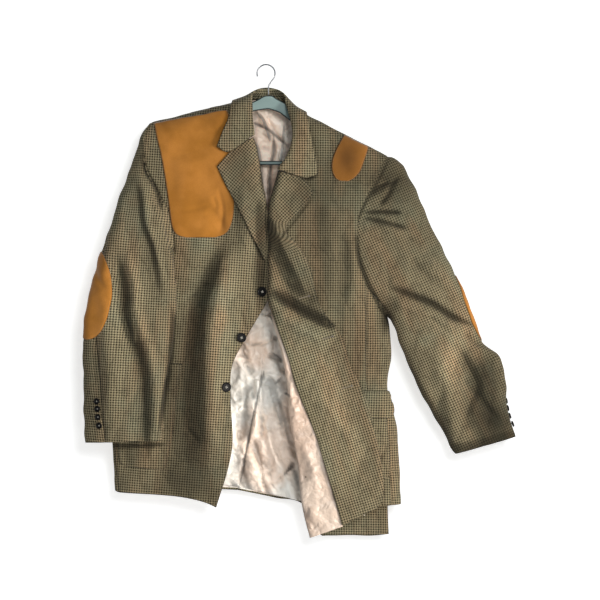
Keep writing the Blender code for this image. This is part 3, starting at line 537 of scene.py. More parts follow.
# %% Folds of the satin lining (mm)
LINING_FOLDS = folds(
    # the seam at the centre
    ((6, -590, -15, -672, -36, -770, -55, -870, -64, -915), 2.6, 2.6, -9),
    # in the neck
    ((-26, -88, -4, -118, 10, -166), 5, 7, 10), ((-40, -112, 4, -132, 52, -172), 4, 6, -10),
    ((-24, -140, -12, -200, -6, -280), 4, 7, 9), ((36, -110, 30, -180, 16, -280), 5, 7, 9),
    ((12, -120, 16, -170, 8, -220, 7, -300), 4, 4, -9),
    # between the fronts
    ((2, -470, 7, -540, -4, -640), 8, 9, 7), ((-18, -512, 2, -514, 20, -506), 3, 4, -6),
    ((-42, -580, 0, -572, 34, -556), 3, 5, -8), ((-14, -590, 10, -602, 40, -612), 4, 7, -10),
    ((4, -640, 20, -700, 36, -762), 4, 8, -10), ((-24, -620, -18, -700, -34, -785), 6, 9, 10),
    ((-44, -640, -46, -720, -68, -810), 4, 8, -9), ((-6, -720, 10, -790, 30, -860), 5, 9, 10),
    ((-30, -750, -14, -830, 2, -905), 4, 7, -9), ((20, -862, 44, -838, 68, -812), 3, 5, -9),
    ((-64, -690, -76, -780, -88, -890), 8, 9, 6), ((16, -790, 42, -860, 60, -925), 6, 9, 9),
    ((-58, -835, -42, -870, -30, -910), 7, 7, -6), ((44, -640, 50, -720, 44, -790), 8, 8, 5),
    ((-90, -740, -98, -800, -104, -880), 8, 8, -5),
)
STRIP_FOLDS = folds(
    ((74, -905, 92, -938, 114, -966), 4, 4, -4), ((86, -900, 108, -930, 130, -955), 6, 6, 4),
    ((44, -640, 56, -700, 70, -760), 6, 6, 3), ((62, -640, 72, -632, 84, -630), 3, 4, -2.5),
    ((60, -770, 76, -820, 84, -880), 6, 7, -4), ((80, -780, 96, -830, 104, -880), 7, 6, 4),
    ((68, -852, 90, -846, 112, -840), 4, 5, -3), ((30, -560, 38, -600, 44, -640), 4, 5, 2.5),
)

print("folds:", len(FRONT_FOLDS + FACING_FOLDS + SLEEVE_RIGHT_FOLDS + SLEEVE_LEFT_FOLDS + BACK_FOLDS
                    + SLEEVE_RIGHT_BACK_FOLDS + SLEEVE_LEFT_BACK_FOLDS + LINING_FOLDS + STRIP_FOLDS))

# %% [markdown]
# ## How each part hangs
# A hang function takes points of a smooth surface and its normals, and says how far each point moves
# out. The folds of the tables come first, then a gentle ripple, or creases where the cloth is satin.
# What lies on another piece can sink no further than that piece.

# %% How each part of the jacket hangs


def no_deeper(height, room):
    """The height, eased off so that it never falls below minus the room."""
    return np.logaddexp(0, height + room) - room


def folded(rows, *waves):
    """A hang from a fold table and some ripples or crumples, each a seed, a size and a height."""
    def hang(points, normals):
        x, z = points[..., 0], points[..., 2]
        height = fold_height(rows, x, z)
        for wave, *shape in waves:
            height = height + wave(x, z, *shape)
        return height
    return hang


front_hang = folded(FRONT_FOLDS, (ripple, 3, 62, 0.8), (ripple, 4, 24, 0.18))
back_hang = folded(BACK_FOLDS, (ripple, 7, 70, 1.0), (ripple, 8, 26, 0.2))
strip_hang = folded(STRIP_FOLDS, (crumple, 13, 46, 2.2), (crumple, 14, 19, 0.5))
facing_alone = folded(FACING_FOLDS, (ripple, 5, 48, 0.8), (ripple, 6, 20, 0.2))
lining_alone = folded(LINING_FOLDS, (crumple, 11, 46, 8.5), (crumple, 12, 19, 2.8))

FACING_ROOM = 8.0
STRIP_ROOM = 2.0
LINING_ROOM = 8.0


def facing_hang(points, normals):
    """The facing lies on the left front, closest to it low down."""
    room = mix(FACING_ROOM, STRIP_ROOM, soft_step(-points[..., 2], 550, 620))
    return no_deeper(facing_alone(points, normals), room)


def lining_hang(points, normals):
    """The lining follows the back it hangs in."""
    return no_deeper(lining_alone(points, normals), LINING_ROOM) - back_hang(points, normals)


def body_hang(points, normals):
    """Every panel takes the front's folds where it faces front and the back's behind."""
    front = soft_step(-normals[..., 1], -0.35, 0.35)
    return front_hang(points, normals) * front + back_hang(points, normals) * (1 - front)


def sleeve_hang(front_folds, back_folds, seed):
    def hang(points, normals):
        x, z = points[..., 0], points[..., 2]
        front = soft_step(-normals[..., 1], -0.4, 0.4)
        height = fold_height(front_folds, x, z) * front + fold_height(back_folds, x, z) * (1 - front)
        return height + ripple(x, z, seed, 50, 0.9) + ripple(x, z, seed + 1, 21, 0.22)
    return hang


def still(points, normals):
    return np.zeros(points.shape[:-1])


print("the facing can sink", FACING_ROOM, "mm at most, the lining", LINING_ROOM, "mm")

# %% [markdown]
# ## Turned-back parts and the collar
# A lapel is the front's own facing, folded out and pressed. It rolls off the front at its fold, stands
# a little highest just past it, and settles to its edge. The left front is turned back right down to
# the hem, so its facing is a long strip that ends at a seam with the lining.

# %% Lapel, facing and lining strip: rows from left to right (mm)
FOLD_LOW = -1.5
ROLL_SHARPNESS = 3.5
CREST = 4.0
CREST_AT = 12
CREST_WIDE = 14

Strip = namedtuple("Strip", "left_x left_z right_x right_z")
LAPEL_RIGHT = [
    (-75, -182.6, -25, -149.6), (-100, -211, -17, -172), (-84, -245, -11, -207), (-66, -279, -5, -248),
    (-47, -315, 0, -289), (-29, -351, 1, -330), (-12, -383, 1, -372), (-3, -402, 1, -404),
]
FACING_LEFT = [
    (25, -219.6, 79, -235.8), (13, -262, 98, -264), (6, -291, 70, -301), (4, -335, 41, -338),
    (4, -381, 73, -381), (4, -430, 92, -425), (4, -484, 106, -484), (14, -515, 126, -520),
    (30, -560, 158, -563), (47, -607, 169, -610), (56, -645, 190, -652), (70, -683, 209, -700),
    (87, -725, 220, -750), (103, -765, 232, -795), (121, -826, 239, -850), (140, -890, 239, -893),
    (156, -946, 226, -912),
]
LINING_FRONT_LEFT = [
    (10, -512, 13, -516), (25, -566, 33, -566), (35, -607, 49, -609), (43, -660, 67, -660),
    (48, -732, 95, -730), (58, -783, 115, -785), (66, -826, 127, -828), (70, -880, 139, -885),
    (78, -925, 151, -922), (90, -972, 158, -948),
]


def rolled(away, low, top):
    """Height at a distance from a fold: it rises from low to top as the cloth rolls over."""
    return low + (top - low) * (1 - np.exp(-away / ROLL_SHARPNESS))


def just_past_fold(away):
    return np.exp(-(((away - CREST_AT) / CREST_WIDE) ** 2))


def lapel_rise(rows, height, corners):
    """How far the turned-out lapel stands off the front: folded at its right edge."""
    def rise(s, t):
        strip = Strip(*along(rows, t, corners))
        away = (1 - s) * (strip.right_x - strip.left_x)
        return rolled(away, FOLD_LOW, height + CREST * just_past_fold(away))
    return rise


def facing_rise(rows, height, corners):
    """The turned-back facing: folded at its left edge down to where the lining strip begins."""
    def rise(s, t):
        strip = Strip(*along(rows, t, corners))
        away = s * (strip.right_x - strip.left_x)
        folded = 1 - soft_step(-strip.left_z, 484, 530)
        low = mix(height - 0.6, FOLD_LOW, folded)
        return rolled(away, low, height + CREST * folded * just_past_fold(away))
    return rise


def strip_rise(rows, height):
    """The lining strip: folded at its left edge, tucked under the facing at its right one."""
    def rise(s, t):
        strip = Strip(*along(rows, t))
        return rolled(s * (strip.right_x - strip.left_x), FOLD_LOW, height)
    return rise


# %% The collar: its seam, roll, middle and edge at stations from the right gorge to the left (mm)
COLLAR = [
    ((-31, -38, -151), (-26, -47, -148), (-75, -46, -181), (-100, -45, -170)),
    ((-38, -35, -128), (-27, -43, -126), (-62, -47, -148), (-89, -44, -140)),
    ((-46, -26, -100), (-28, -31, -102), (-54, -42, -113), (-77, -40, -112)),
    ((-50, -11, -76), (-29, -14, -80), (-50, -24, -80), (-72, -27, -86)),
    ((-45, 10, -69), (-29, 3, -63), (-50, 1, -67), (-68, -1, -73)),
    ((-36, 22, -69), (-25, 15, -53), (-46, 28, -66), (-64, 33, -84)),
    ((-18, 27, -68), (-13, 25, -47), (-26, 41, -68), (-36, 47, -99)),
    ((3, 28, -68), (3, 27, -45), (3, 44, -68), (3, 50, -104)),
    ((26, 27, -70), (20, 25, -48), (32, 42, -72), (44, 48, -107)),
    ((50, 20, -78), (33, 14, -55), (54, 28, -78), (76, 35, -108)),
    ((68, 8, -91), (38, 0, -67), (60, 2, -84), (82, -1, -97)),
    ((72, -14, -97), (44, -16, -88), (66, -28, -97), (85, -32, -110)),
    ((66, -29, -128), (52, -34, -118), (74, -45, -130), (91, -44, -142)),
    ((60, -36, -160), (56, -44, -150), (80, -48, -166), (98, -45, -180)),
    ((48, -38, -192), (47, -48, -186), (75, -49, -206), (104, -45, -206)),
    ((32, -40, -219), (27, -50, -218), (79, -49, -234), (106, -46, -227)),
]
COLLAR_PARTS = (0.0, 0.3, 0.66, 1.0)


def collar_surface(v, u):
    """The collar from its neck seam over the roll to its edge (v), round the neck (u)."""
    lines = [np.stack(along([station[i] for station in COLLAR], u), axis=-1)
             for i in range(len(COLLAR_PARTS))]
    lines = np.stack(lines)

    def part(i):
        return np.take_along_axis(lines, i[None, ..., None], axis=0)[0]
    return cubic(np.array(COLLAR_PARTS), part, v)


print("stations of the collar:", len(COLLAR))

# %% [markdown]
# ## Sleeves
# A tailored sleeve is a bent tube of two pieces, a wide top and a narrower under sleeve. Each ring of
# the table has an outer edge, an inner edge and a thickness, and the first ring takes the armhole's own
# shape, so that the sleeve starts where the body ends.

# %% Rings of the sleeves, and their seams (mm and degrees)
Ring = namedtuple("Ring", "out_x out_z in_x in_z out_y in_y half hinge")
SLEEVE_RIGHT = table(Ring,
    (-240, -119, -200, -387, 0, 0, 28, 1.0), (-257, -146, -196, -386, -3, -21, 27, 0.25),
    (-272, -190, -188, -397, -8, -46, 26, 0.03), (-287, -236, -185, -428, -14, -64, 26, 0.03),
    (-303, -285, -182, -463, -20, -67, 26, 0), (-320, -340, -182, -497, -26, -67, 26, 0),
    (-340, -400, -186, -537, -30, -67, 26, 0), (-357, -460, -190, -576, -32, -66, 26, 0),
    (-369, -521, -196, -611, -34, -65, 25, 0), (-375, -580, -203, -646, -34, -63, 24, 0),
    (-374, -640, -207, -682, -34, -61, 23, 0), (-373, -700, -209, -715, -34, -59, 22, 0),
    (-370, -776, -211, -771, -34, -58, 20, 0),
)
SLEEVE_LEFT = table(Ring,
    (250, -187, 244, -516, 0, 0, 30, 1.0), (279, -202, 257, -526, 0, 0, 34, 0.72),
    (299, -236, 268, -551, 0, 0, 37, 0.4), (320, -284, 279, -584, 0, 0, 38, 0.15),
    (340, -331, 293, -618, 0, 0, 38, 0), (361, -373, 307, -650, 0, 0, 37, 0),
    (385, -421, 322, -681, 0, 0, 35, 0), (410, -476, 338, -711, 0, 0, 33, 0),
    (434, -538, 353, -738, 0, 0, 31, 0), (449, -577, 363, -756, 0, 0, 30, 0),
    (478, -598, 371, -770, -2, -2, 28, 0), (489, -650, 378, -785, -3, -4, 26, 0),
    (497, -708, 384, -795, -4, -6, 23, 0), (515, -765, 389, -801, -5, -8, 20, 0),
)
HIND_SEAM_RIGHT = (-35, -10, 20, 50, 62)
FORE_SEAM_RIGHT = (235, 225, 212, 203, 200)
HIND_SEAM_LEFT = (-40, -35, -28, -20, -15)
FORE_SEAM_LEFT = (150, 175, 185, 190, 195)
HEAD_TUCK = 7.5
RING_PITCH = 30.0
TURNED_IN = 0.7


def ring_point(ring, turn):
    towards_out = (np.cos(turn) + 1) / 2
    x = mix(ring.in_x, ring.out_x, towards_out)
    z = mix(ring.in_z, ring.out_z, towards_out)
    bulge = np.sign(np.sin(turn)) * np.abs(np.sin(turn)) ** TUBE_FULLNESS
    return stacked(x, mix(ring.in_y, ring.out_y, towards_out) - ring.half * bulge, z)


def sleeve(rings, holes):
    """A sleeve's surface, by degrees round it and by how far down it (0 to 1)."""
    first = rings[0]
    towards_body = np.sign(first.in_x - first.out_x)

    def round_at(degrees, t):
        turn = np.radians(degrees)
        ring = Ring(*along(rings, t))
        pull = armhole_point(holes, degrees) - ring_point(first, turn)
        return ring_point(ring, turn) + pull * np.asarray(ring.hinge)[..., None]

    def place(degrees, t):
        """Above the armhole (t below 0) it turns in sideways, under the body's edge."""
        seam = round_at(degrees, np.clip(t, 0, 1))
        tucked = np.maximum(-t, 0) * RING_PITCH * (len(rings) - 1)
        from_face = np.clip(seam[..., 1] / 5, -1, 1)
        return seam + stacked(towards_body * tucked, -TURNED_IN * tucked * from_face, 0 * t)
    return place


def sleeve_part(surface, rings, seam_from, seam_to):
    """One of a sleeve's two pieces, between two seams that wander down it."""
    start = -HEAD_TUCK / RING_PITCH / (len(rings) - 1)

    def place(s, t):
        t = mix(start, 1.0, np.clip(t, 0, 1))
        ring = Ring(*along(rings, t))
        reach = np.hypot(ring.out_x - ring.in_x, ring.out_z - ring.in_z) / 2
        ends = []
        for seam, sign in ((seam_from, 1), (seam_to, -1)):
            degrees = along([(value,) for value in seam], t)[0]
            turn = np.radians(degrees)
            width = np.hypot(reach * np.sin(turn), ring.half * np.cos(turn))
            ends.append(degrees + sign * np.degrees(SEAM / width))
        return surface(mix(ends[0], ends[1], s), t)
    return place


ElbowPatch = namedtuple("ElbowPatch", "first last middle reach")
ELBOW_RIGHT = ElbowPatch(5.75, 8.7, 12, 50)
ELBOW_LEFT = ElbowPatch(6.15, 8.75, -28, 52)
OVAL_POWER = 2.4


def elbow_oval(surface, shape, last_ring):
    def place(s, t):
        along_patch = mix(-1, 1, np.clip(t, 0, 1))
        rest = np.maximum(1.02 - np.abs(along_patch) ** OVAL_POWER, 0)
        half = shape.reach * rest ** (1 / OVAL_POWER)
        degrees = shape.middle + half * mix(-1, 1, s)
        return surface(degrees, mix(shape.first, shape.last, t) / last_ring)
    return place


print("rings of the sleeves:", len(SLEEVE_RIGHT), "and", len(SLEEVE_LEFT))

# %% [markdown]
# ## From a surface to cloth
# The surface is sampled in cells of about one size, moved out along its normals by its folds, and made
# a mesh. What the materials need is kept on the mesh: where the thread lies (a UV map in metres), how
# near a place is to the cut edge and how deep it lies in a fold, which the materials use for painted
# shade (and for wear on suede edges), and how much painted light or shade it takes. Solidify gives the
# wall, and its second material lines the inside.

# %% Sampling a surface and hanging it
PROBE = 0.003
SURVEY = 161
SPOT_SIZE = 0.012


def cells(place, step):
    """Places across and down that make cells of about one size (mm)."""
    fine = np.linspace(0.0, 1.0, SURVEY)
    points = place(*np.meshgrid(fine, fine))
    cuts = []
    for axis in (1, 0):
        lengths = np.linalg.norm(np.diff(points, axis=axis), axis=-1).mean(axis=1 - axis)
        run = np.concatenate([[0.0], np.cumsum(lengths)])
        count = max(3, round(run[-1] / step))
        cuts.append(np.interp(np.linspace(0, run[-1], count + 1), run, fine))
    return np.meshgrid(*cuts)


def outward(place, s, t, flip):
    """Unit normals of a surface, pointing out of the garment."""
    across = place(np.minimum(s + PROBE, 1), t) - place(np.maximum(s - PROBE, 0), t)
    down = place(s, np.minimum(t + PROBE, 1)) - place(s, np.maximum(t - PROBE, 0))
    normal = np.cross(down, across)
    normal /= np.maximum(np.linalg.norm(normal, axis=-1, keepdims=True), 1e-9)
    return -normal if flip else normal


def hung(place, s, t, hang, lift=0.0, flip=False):
    """Points of a hung surface, its normals before hanging, and how far the folds move it."""
    base = place(s, t)
    normals = outward(place, s, t, flip)
    height = hang(base, normals)
    rise = lift(s, t) if callable(lift) else lift
    return base + normals * np.asarray(height + rise)[..., None], normals, height


def nine_round(s, t, step):
    """A place and the eight round it."""
    return np.meshgrid(s + step * np.arange(-1, 2), t + step * np.arange(-1, 2))


def spot(place, s, t, hang, flip=False):
    """One place on a hung surface, and the way it faces there."""
    points, _, _ = hung(place, *nine_round(s, t, SPOT_SIZE), hang, 0.0, flip)
    normal = np.cross(points[2, 1] - points[0, 1], points[1, 2] - points[1, 0])
    normal /= np.linalg.norm(normal)
    return Vector(points[1, 1]), Vector(-normal if flip else normal)


# %% Borders and threads
def borders(points):
    """Distances (mm) to the left, right, top and bottom border at every point of a grid."""
    across = np.linalg.norm(np.diff(points, axis=1), axis=-1)
    down = np.linalg.norm(np.diff(points, axis=0), axis=-1)
    from_left = np.pad(np.cumsum(across, axis=1), ((0, 0), (1, 0)))
    from_top = np.pad(np.cumsum(down, axis=0), ((1, 0), (0, 0)))
    return from_left, from_left[:, -1:] - from_left, from_top, from_top[-1:] - from_top


def threads(points, grain):
    """Where each point lies in the woven cloth (mm): across the grain and along it."""
    turn = np.radians(np.broadcast_to(grain, points.shape[:1]))[:, None]
    length_way = np.stack([-np.sin(turn), 0 * turn, np.cos(turn)], axis=-1)
    cross_way = np.stack([np.cos(turn), 0 * turn, np.sin(turn)], axis=-1)
    step = np.diff(points, axis=1)
    step = step - (step * length_way).sum(-1, keepdims=True) * length_way
    run = np.pad(np.cumsum(np.linalg.norm(step, axis=-1), axis=1), ((0, 0), (1, 0)))
    points = points - points.reshape(-1, 3).mean(axis=0)
    middle = points.shape[1] // 2
    way = np.sign(((points[:, -1] - points[:, 0]) * cross_way[:, 0]).sum(-1))[:, None]
    way = np.where(way == 0, 1, way)
    at_middle = (points[:, middle] * cross_way[:, 0]).sum(-1)[:, None]
    u = at_middle + way * (run - run[:, middle:middle + 1])
    v = (points * length_way).sum(-1)
    return u, v


def soft_edges(border, seams, dip, reach):
    """Every seamed border is pressed in a little: l, r, t and b name the sides."""
    pressed = np.zeros(border[0].shape)
    for side, distance in zip("lrtb", border):
        if side in seams:
            pressed += np.exp(-((distance / reach) ** 2))
    return -dip * np.minimum(pressed, 1.0)


# %% [markdown]
# ## Painted light and shade
# Wool and satin are painted darker where shade falls: where the cloth turns away from the light, in
# hollows, under edges and beside seams; in a few places they are painted lighter where light falls.
# That shows more than the shape does, so it has a table of its own: soft ovals that are a little
# lighter or darker, and bands beside the folds. It is kept on the mesh as one number at each point,
# and every cloth material multiplies its colour by it.

# %% Ovals and bands of painted light and shade (mm)
Area = namedtuple("Area", "x z wide high change turn", defaults=(0,))
PAINTED_LIGHT_AREAS = table(Area,
    (110, -260, 80, 110, -0.45), (135, -440, 60, 90, -0.3), (168, -190, 30, 46, -0.66),
    (-78, -325, 15, 36, -0.2), (195, -610, 50, 90, -0.28), (-52, -200, 40, 130, -0.34),
    (90, -482, 26, 40, -0.35), (-24, -100, 6, 40, -0.5), (86, -234, 17, 4.5, -0.9, 10),
    (-130, -330, 70, 60, 0.14), (-62, -850, 36, 80, -0.3), (8, -150, 55, 100, 0.5),
    (-350, -520, 24, 70, 0.6), (-262, -470, 46, 170, 0.34), (-84, -440, 46, 110, 0.16),
    (452, -722, 40, 34, -0.4), (66, -800, 26, 110, -0.18), (88, -150, 20, 70, -0.25),
    (44, -84, 9, 36, -0.6), (262, -240, 66, 62, -0.66), (330, -350, 70, 80, -0.25),
    (456, -640, 34, 52, -0.7), (474, -735, 50, 66, -0.8, 20), (250, -526, 14, 24, -0.9),
    (-150, -862, 56, 48, -0.52), (-188, -690, 20, 130, -0.25), (90, -600, 34, 110, 0.3, 12),
    (154, -740, 40, 120, 0.42, 14), (-95, -600, 26, 190, 0.32), (-295, -560, 16, 190, 0.2, 4),
    (372, -620, 22, 90, 0.5, -24),
)
PAINTED_LIGHT_BANDS = folds(
    # the lining: painted shade in the hollows at the neck, along the centre back seam and in the short
    # creases beside it
    ((-26, -88, -4, -118, 10, -166), 2.5, 5, -0.7), ((-40, -112, 4, -132, 52, -172), 2, 4, -0.7),
    ((-24, -140, -12, -200, -6, -280), 2.5, 4, -0.6), ((38, -100, 34, -170, 18, -270), 4, 2.5, -0.6),
    ((12, -120, 16, -170, 8, -220, 7, -300), 2.6, 2.6, -0.6),
    ((6, -590, -15, -672, -36, -770, -55, -870, -64, -915), 1.6, 2.2, -0.7),
    ((6, -590, 22, -600, 34, -612), 2.5, 2.5, -0.45), ((36, -676, 52, -682), 3, 3, -0.7),
    ((15, -662, 36, -640), 2.5, 2.5, -0.5), ((14, -668, 34, -720, 44, -768, 56, -800), 3, 8, -0.35),
    ((34, -850, 58, -824), 2.5, 3, -0.65),
    # the right sleeve
    ((-330, -300, -352, -400, -364, -500, -362, -600, -360, -700, -358, -860), 40, 18, -0.22),
    ((-312, -320, -298, -402, -286, -443, -281, -477, -281, -510, -268, -548, -251, -593, -240, -655,
     -239, -757, -238, -880), 10, 8, -0.56),
    ((-272, -215, -256, -272, -249, -327, -231, -375, -221, -422, -209, -500), 7, 5, -0.66),
    ((-256, -160, -249, -211, -222, -262, -208, -320), 6, 4, -0.66),
    # painted shadows along the right sleeve's front edge and under its cuff
    ((-188, -470, -192, -560, -198, -620, -208, -680, -216, -740, -223, -782), 3, 6, -0.85),
    ((-340, -782, -290, -783, -240, -781, -190, -778), 6, 3, -0.7),
    # the right front
    ((-54, -280, -84, -360, -106, -430, -134, -490, -152, -560, -158, -650, -156, -780, -140, -940), 26,
     22, -0.32),
    ((-70, -330, -92, -395, -108, -450, -125, -500, -126, -650, -124, -780, -108, -930), 24, 4, -0.36),
    ((-12, -240, -10, -310, -9, -400, -12, -520), 12, 9, -0.5),
    ((-150, -420, -164, -395, -178, -370), 10, 10, -0.25),
    # the turned-back front
    ((2, -290, 20, -352, 44, -405, 68, -450, 90, -500), 24, 6, -0.7),
    ((-182, -300, -140, -294, -98, -279), 3, 5, 0.2), ((-182, -307, -140, -301, -98, -287), 3, 8, -0.16),
    ((-112, -296, -96, -330, -100, -360), 3, 5, 0.16),
    ((-6, -456, 34, -480, 76, -504, 114, -524, 160, -548), 12, 8, -0.85),
    # the left sleeve
    ((184, -320, 189, -385, 202, -430, 221, -470, 243, -510, 266, -556), 6, 5, -0.8),
    ((240, -560, 275, -600, 316, -668, 352, -730, 400, -830), 26, 12, -0.45),
    ((340, -806, 400, -794, 460, -780, 540, -756), 26, 16, -0.75),
    ((228, -448, 288, -470, 343, -492, 384, -518, 450, -544), 7, 6, -0.6),
    ((190, -306, 232, -303, 290, -306), 4, 4, -0.6), ((188, -313, 232, -322, 300, -340), 5, 5, -0.5),
    ((208, -272, 232, -252, 266, -240), 4, 4, -0.4),
    ((226, -296, 250, -270, 262, -244, 284, -226), 4, 4, -0.5),
    ((180, -350, 196, -300, 226, -246, 250, -200, 262, -170), 5, 3, -0.45),
    ((103, -262, 74, -304, 42, -344, 20, -370), 2.4, 2.4, -0.6),
    ((382, -560, 410, -604, 436, -660, 420, -700, 404, -760), 5, 16, -0.4),
)
DARKEST_PAINTED_SHADE = 0.12
BAND_SOFT = 0.5
BAND_HARD = 0.34
HARD_FROM = 0.17
HARD_FULL = 0.34


def nap_at(points, normals):
    """Painted light and shade on front-facing cloth: below 1 where shade is painted, above 1 where light
    is.
    """
    x, z = points[..., 0], points[..., 2]
    front = soft_step(-normals[..., 1], -0.3, 0.1)
    band = fold_height(PAINTED_LIGHT_BANDS, x, z)
    tone = 1 + (BAND_SOFT * band - BAND_HARD * soft_step(-band, HARD_FROM, HARD_FULL)) * front
    for area in PAINTED_LIGHT_AREAS:
        c, s = cos(radians(area.turn)), sin(radians(area.turn))
        across = (x - area.x) * c + (z - area.z) * s
        down = (z - area.z) * c - (x - area.x) * s
        tone *= 1 + area.change * np.exp(-((across / area.wide) ** 2) - (down / area.high) ** 2) * front
    return np.maximum(tone, DARKEST_PAINTED_SHADE)


print("nap:", len(PAINTED_LIGHT_AREAS), "ovals and", len(PAINTED_LIGHT_BANDS), "bands")

# %% The mesh of a piece of cloth
Cut = namedtuple("Cut", "width length area")
flat_cuts = {}
PIN_REACH = 7.0
PIN_LOW = -450.0
ALLOWANCE = 120.0


def placed(name, data):
    """A new object in the scene."""
    obj = bpy.data.objects.new(name, data)
    bpy.context.scene.collection.objects.link(obj)
    return obj


def cloth(name, place, hang, finish, wall, step=3.0, lift=0.0, flip=False, lined=None, grain=0.0,
          seams="", dip=1.2, reach=4.0, pinned="", pin_low=PIN_LOW, tuck=0.0, hem=0.0, quiet=""):
    """A hung piece of cloth with its wall, its thread directions and its edges.

    Sides are named by the letters l, r, t and b: seams are pressed in, pinned ones lie where the
    smooth surface does, and quiet ones get no darkened edge; along wool that darkening is painted
    shade, along suede it is wear. The lining leaves off before a turned-in hem, and before the head
    of a sleeve, which is tucked in by some millimetres.
    """
    s, t = cells(place, step)
    points, normals, height = hung(place, s, t, hang, lift, flip)
    flat = place(s, t)
    border = borders(flat)
    pressed = soft_edges(border, seams, dip, reach)
    from_seam = [np.maximum(distance - tuck, 0) for distance in border]
    held = -soft_edges(from_seam, pinned, 1.0, PIN_REACH) * soft_step(points[..., 2], pin_low, pin_low + 40)
    points += normals * (pressed - height * held)[..., None]
    rows, columns = s.shape
    index = np.arange(rows * columns).reshape(rows, columns)
    corner = [index[:-1, :-1], index[1:, :-1], index[1:, 1:], index[:-1, 1:]]
    quads = np.stack(corner[::-1] if flip else corner, axis=-1).reshape(-1, 4)

    mesh = bpy.data.meshes.new(name)
    mesh.vertices.add(points.size // 3)
    mesh.vertices.foreach_set("co", (points * MM).ravel())
    mesh.loops.add(quads.size)
    mesh.loops.foreach_set("vertex_index", quads.ravel())
    mesh.polygons.add(len(quads))
    mesh.polygons.foreach_set("loop_start", np.arange(0, quads.size, 4))
    mesh.update(calc_edges=True)
    mesh.shade_smooth()
    weave = mesh.uv_layers.new(name="weave")
    uv = np.stack(threads(flat, grain), axis=-1).reshape(-1, 2) * MM
    weave.data.foreach_set("uv", uv[quads.ravel()].ravel())
    turned_in = border[2] < (tuck + ALLOWANCE if tuck else 0)
    turned_in |= border[3] < (hem(s) if callable(hem) else hem)
    both_sides = (turned_in[1:, 1:] & turned_in[:-1, :-1]).astype(np.int32).ravel() * 2
    mesh.polygons.foreach_set("material_index", both_sides)
    nearest = np.minimum.reduce([distance for side, distance in zip("lrtb", border) if side not in quiet])
    # edge and fold feed painted shade in the cloth materials; the third attribute is painted light and
    # shade itself
    for label, values in (("edge", nearest * MM), ("fold", height * MM), ("nap", nap_at(points, normals))):
        attribute = mesh.attributes.new(label, "FLOAT", "POINT")
        attribute.data.foreach_set("value", values.astype(np.float32).ravel())
    mesh.validate()

    obj = placed(name, mesh)
    for slot_finish in (finish, lined or finish, finish, finish):
        mesh.materials.append(slot_finish)
    solid = obj.modifiers.new("wall", "SOLIDIFY")
    solid.thickness = wall * MM
    solid.offset = -1.0
    solid.material_offset = 1
    across = flat[1:, :-1] - flat[:-1, :-1]
    down = flat[:-1, 1:] - flat[:-1, :-1]
    area = np.linalg.norm(np.cross(across, down), axis=-1).sum() * MM * MM
    width = max(float(border[1][:, 0].max()) * MM, 0.01)
    length = max(float(border[3][0].max()) * MM, 0.01)
    flat_cuts[name] = Cut(round(width, 3), round(length, 3), round(float(area), 4))
    return obj


# %% [markdown]
# ## Building a node tree with Python
# A shader or Geometry Nodes tree is a graph, and a graph is awkward to read as code. Two small classes
# make it read as a formula: Socket wraps one output and gives it Python's arithmetic, and Tree makes
# nodes.

# %% Socket and Tree
class Socket:
    """One output of a node. Arithmetic on it adds Math nodes."""

    def __init__(self, tree, socket):
        self.tree = tree
        self.socket = socket

    def math(self, operation, *others):
        values = dict(enumerate((self,) + others))
        return self.tree.node("ShaderNodeMath", {"operation": operation}, values)

    def flipped(self, operation, other):
        return self.tree.node("ShaderNodeMath", {"operation": operation}, {0: other, 1: self})

    def beside(self, name):
        """Another output of the same node."""
        return Socket(self.tree, self.socket.node.outputs[name])

    def __add__(self, other):
        return self.math("ADD", other)

    def __sub__(self, other):
        return self.math("SUBTRACT", other)

    def __rsub__(self, other):
        return self.flipped("SUBTRACT", other)

    def __mul__(self, other):
        return self.math("MULTIPLY", other)

    def __truediv__(self, other):
        return self.math("DIVIDE", other)

    def __mod__(self, other):
        return self.math("FLOORED_MODULO", other)

    def __lt__(self, other):
        return self.math("LESS_THAN", other)

    def __gt__(self, other):
        return self.math("GREATER_THAN", other)

    __radd__ = __add__
    __rmul__ = __mul__

    def floor(self):
        return self.math("FLOOR")

    def between(self, low, high):
        """0 below low, 1 above high, smooth between."""
        return self.tree.node("ShaderNodeMapRange", {"interpolation_type": "SMOOTHSTEP"},
                              {"Value": self, "From Min": low, "From Max": high})


class Tree:
    """Makes nodes: a type, its settings, then the values or links of its sockets."""

    def __init__(self, node_tree):
        self.nodes = node_tree.nodes
        self.links = node_tree.links

    def feed(self, socket, value):
        if isinstance(value, Socket):
            self.links.new(value.socket, socket)
        else:
            socket.default_value = value

    def node(self, kind, settings=None, inputs=None, out=0):
        made = self.nodes.new(kind)
        for key, value in (settings or {}).items():
            setattr(made, key, value)
        for key, value in (inputs or {}).items():
            self.feed(made.inputs[key], value)
        return Socket(self, made.outputs[out]) if made.outputs else None


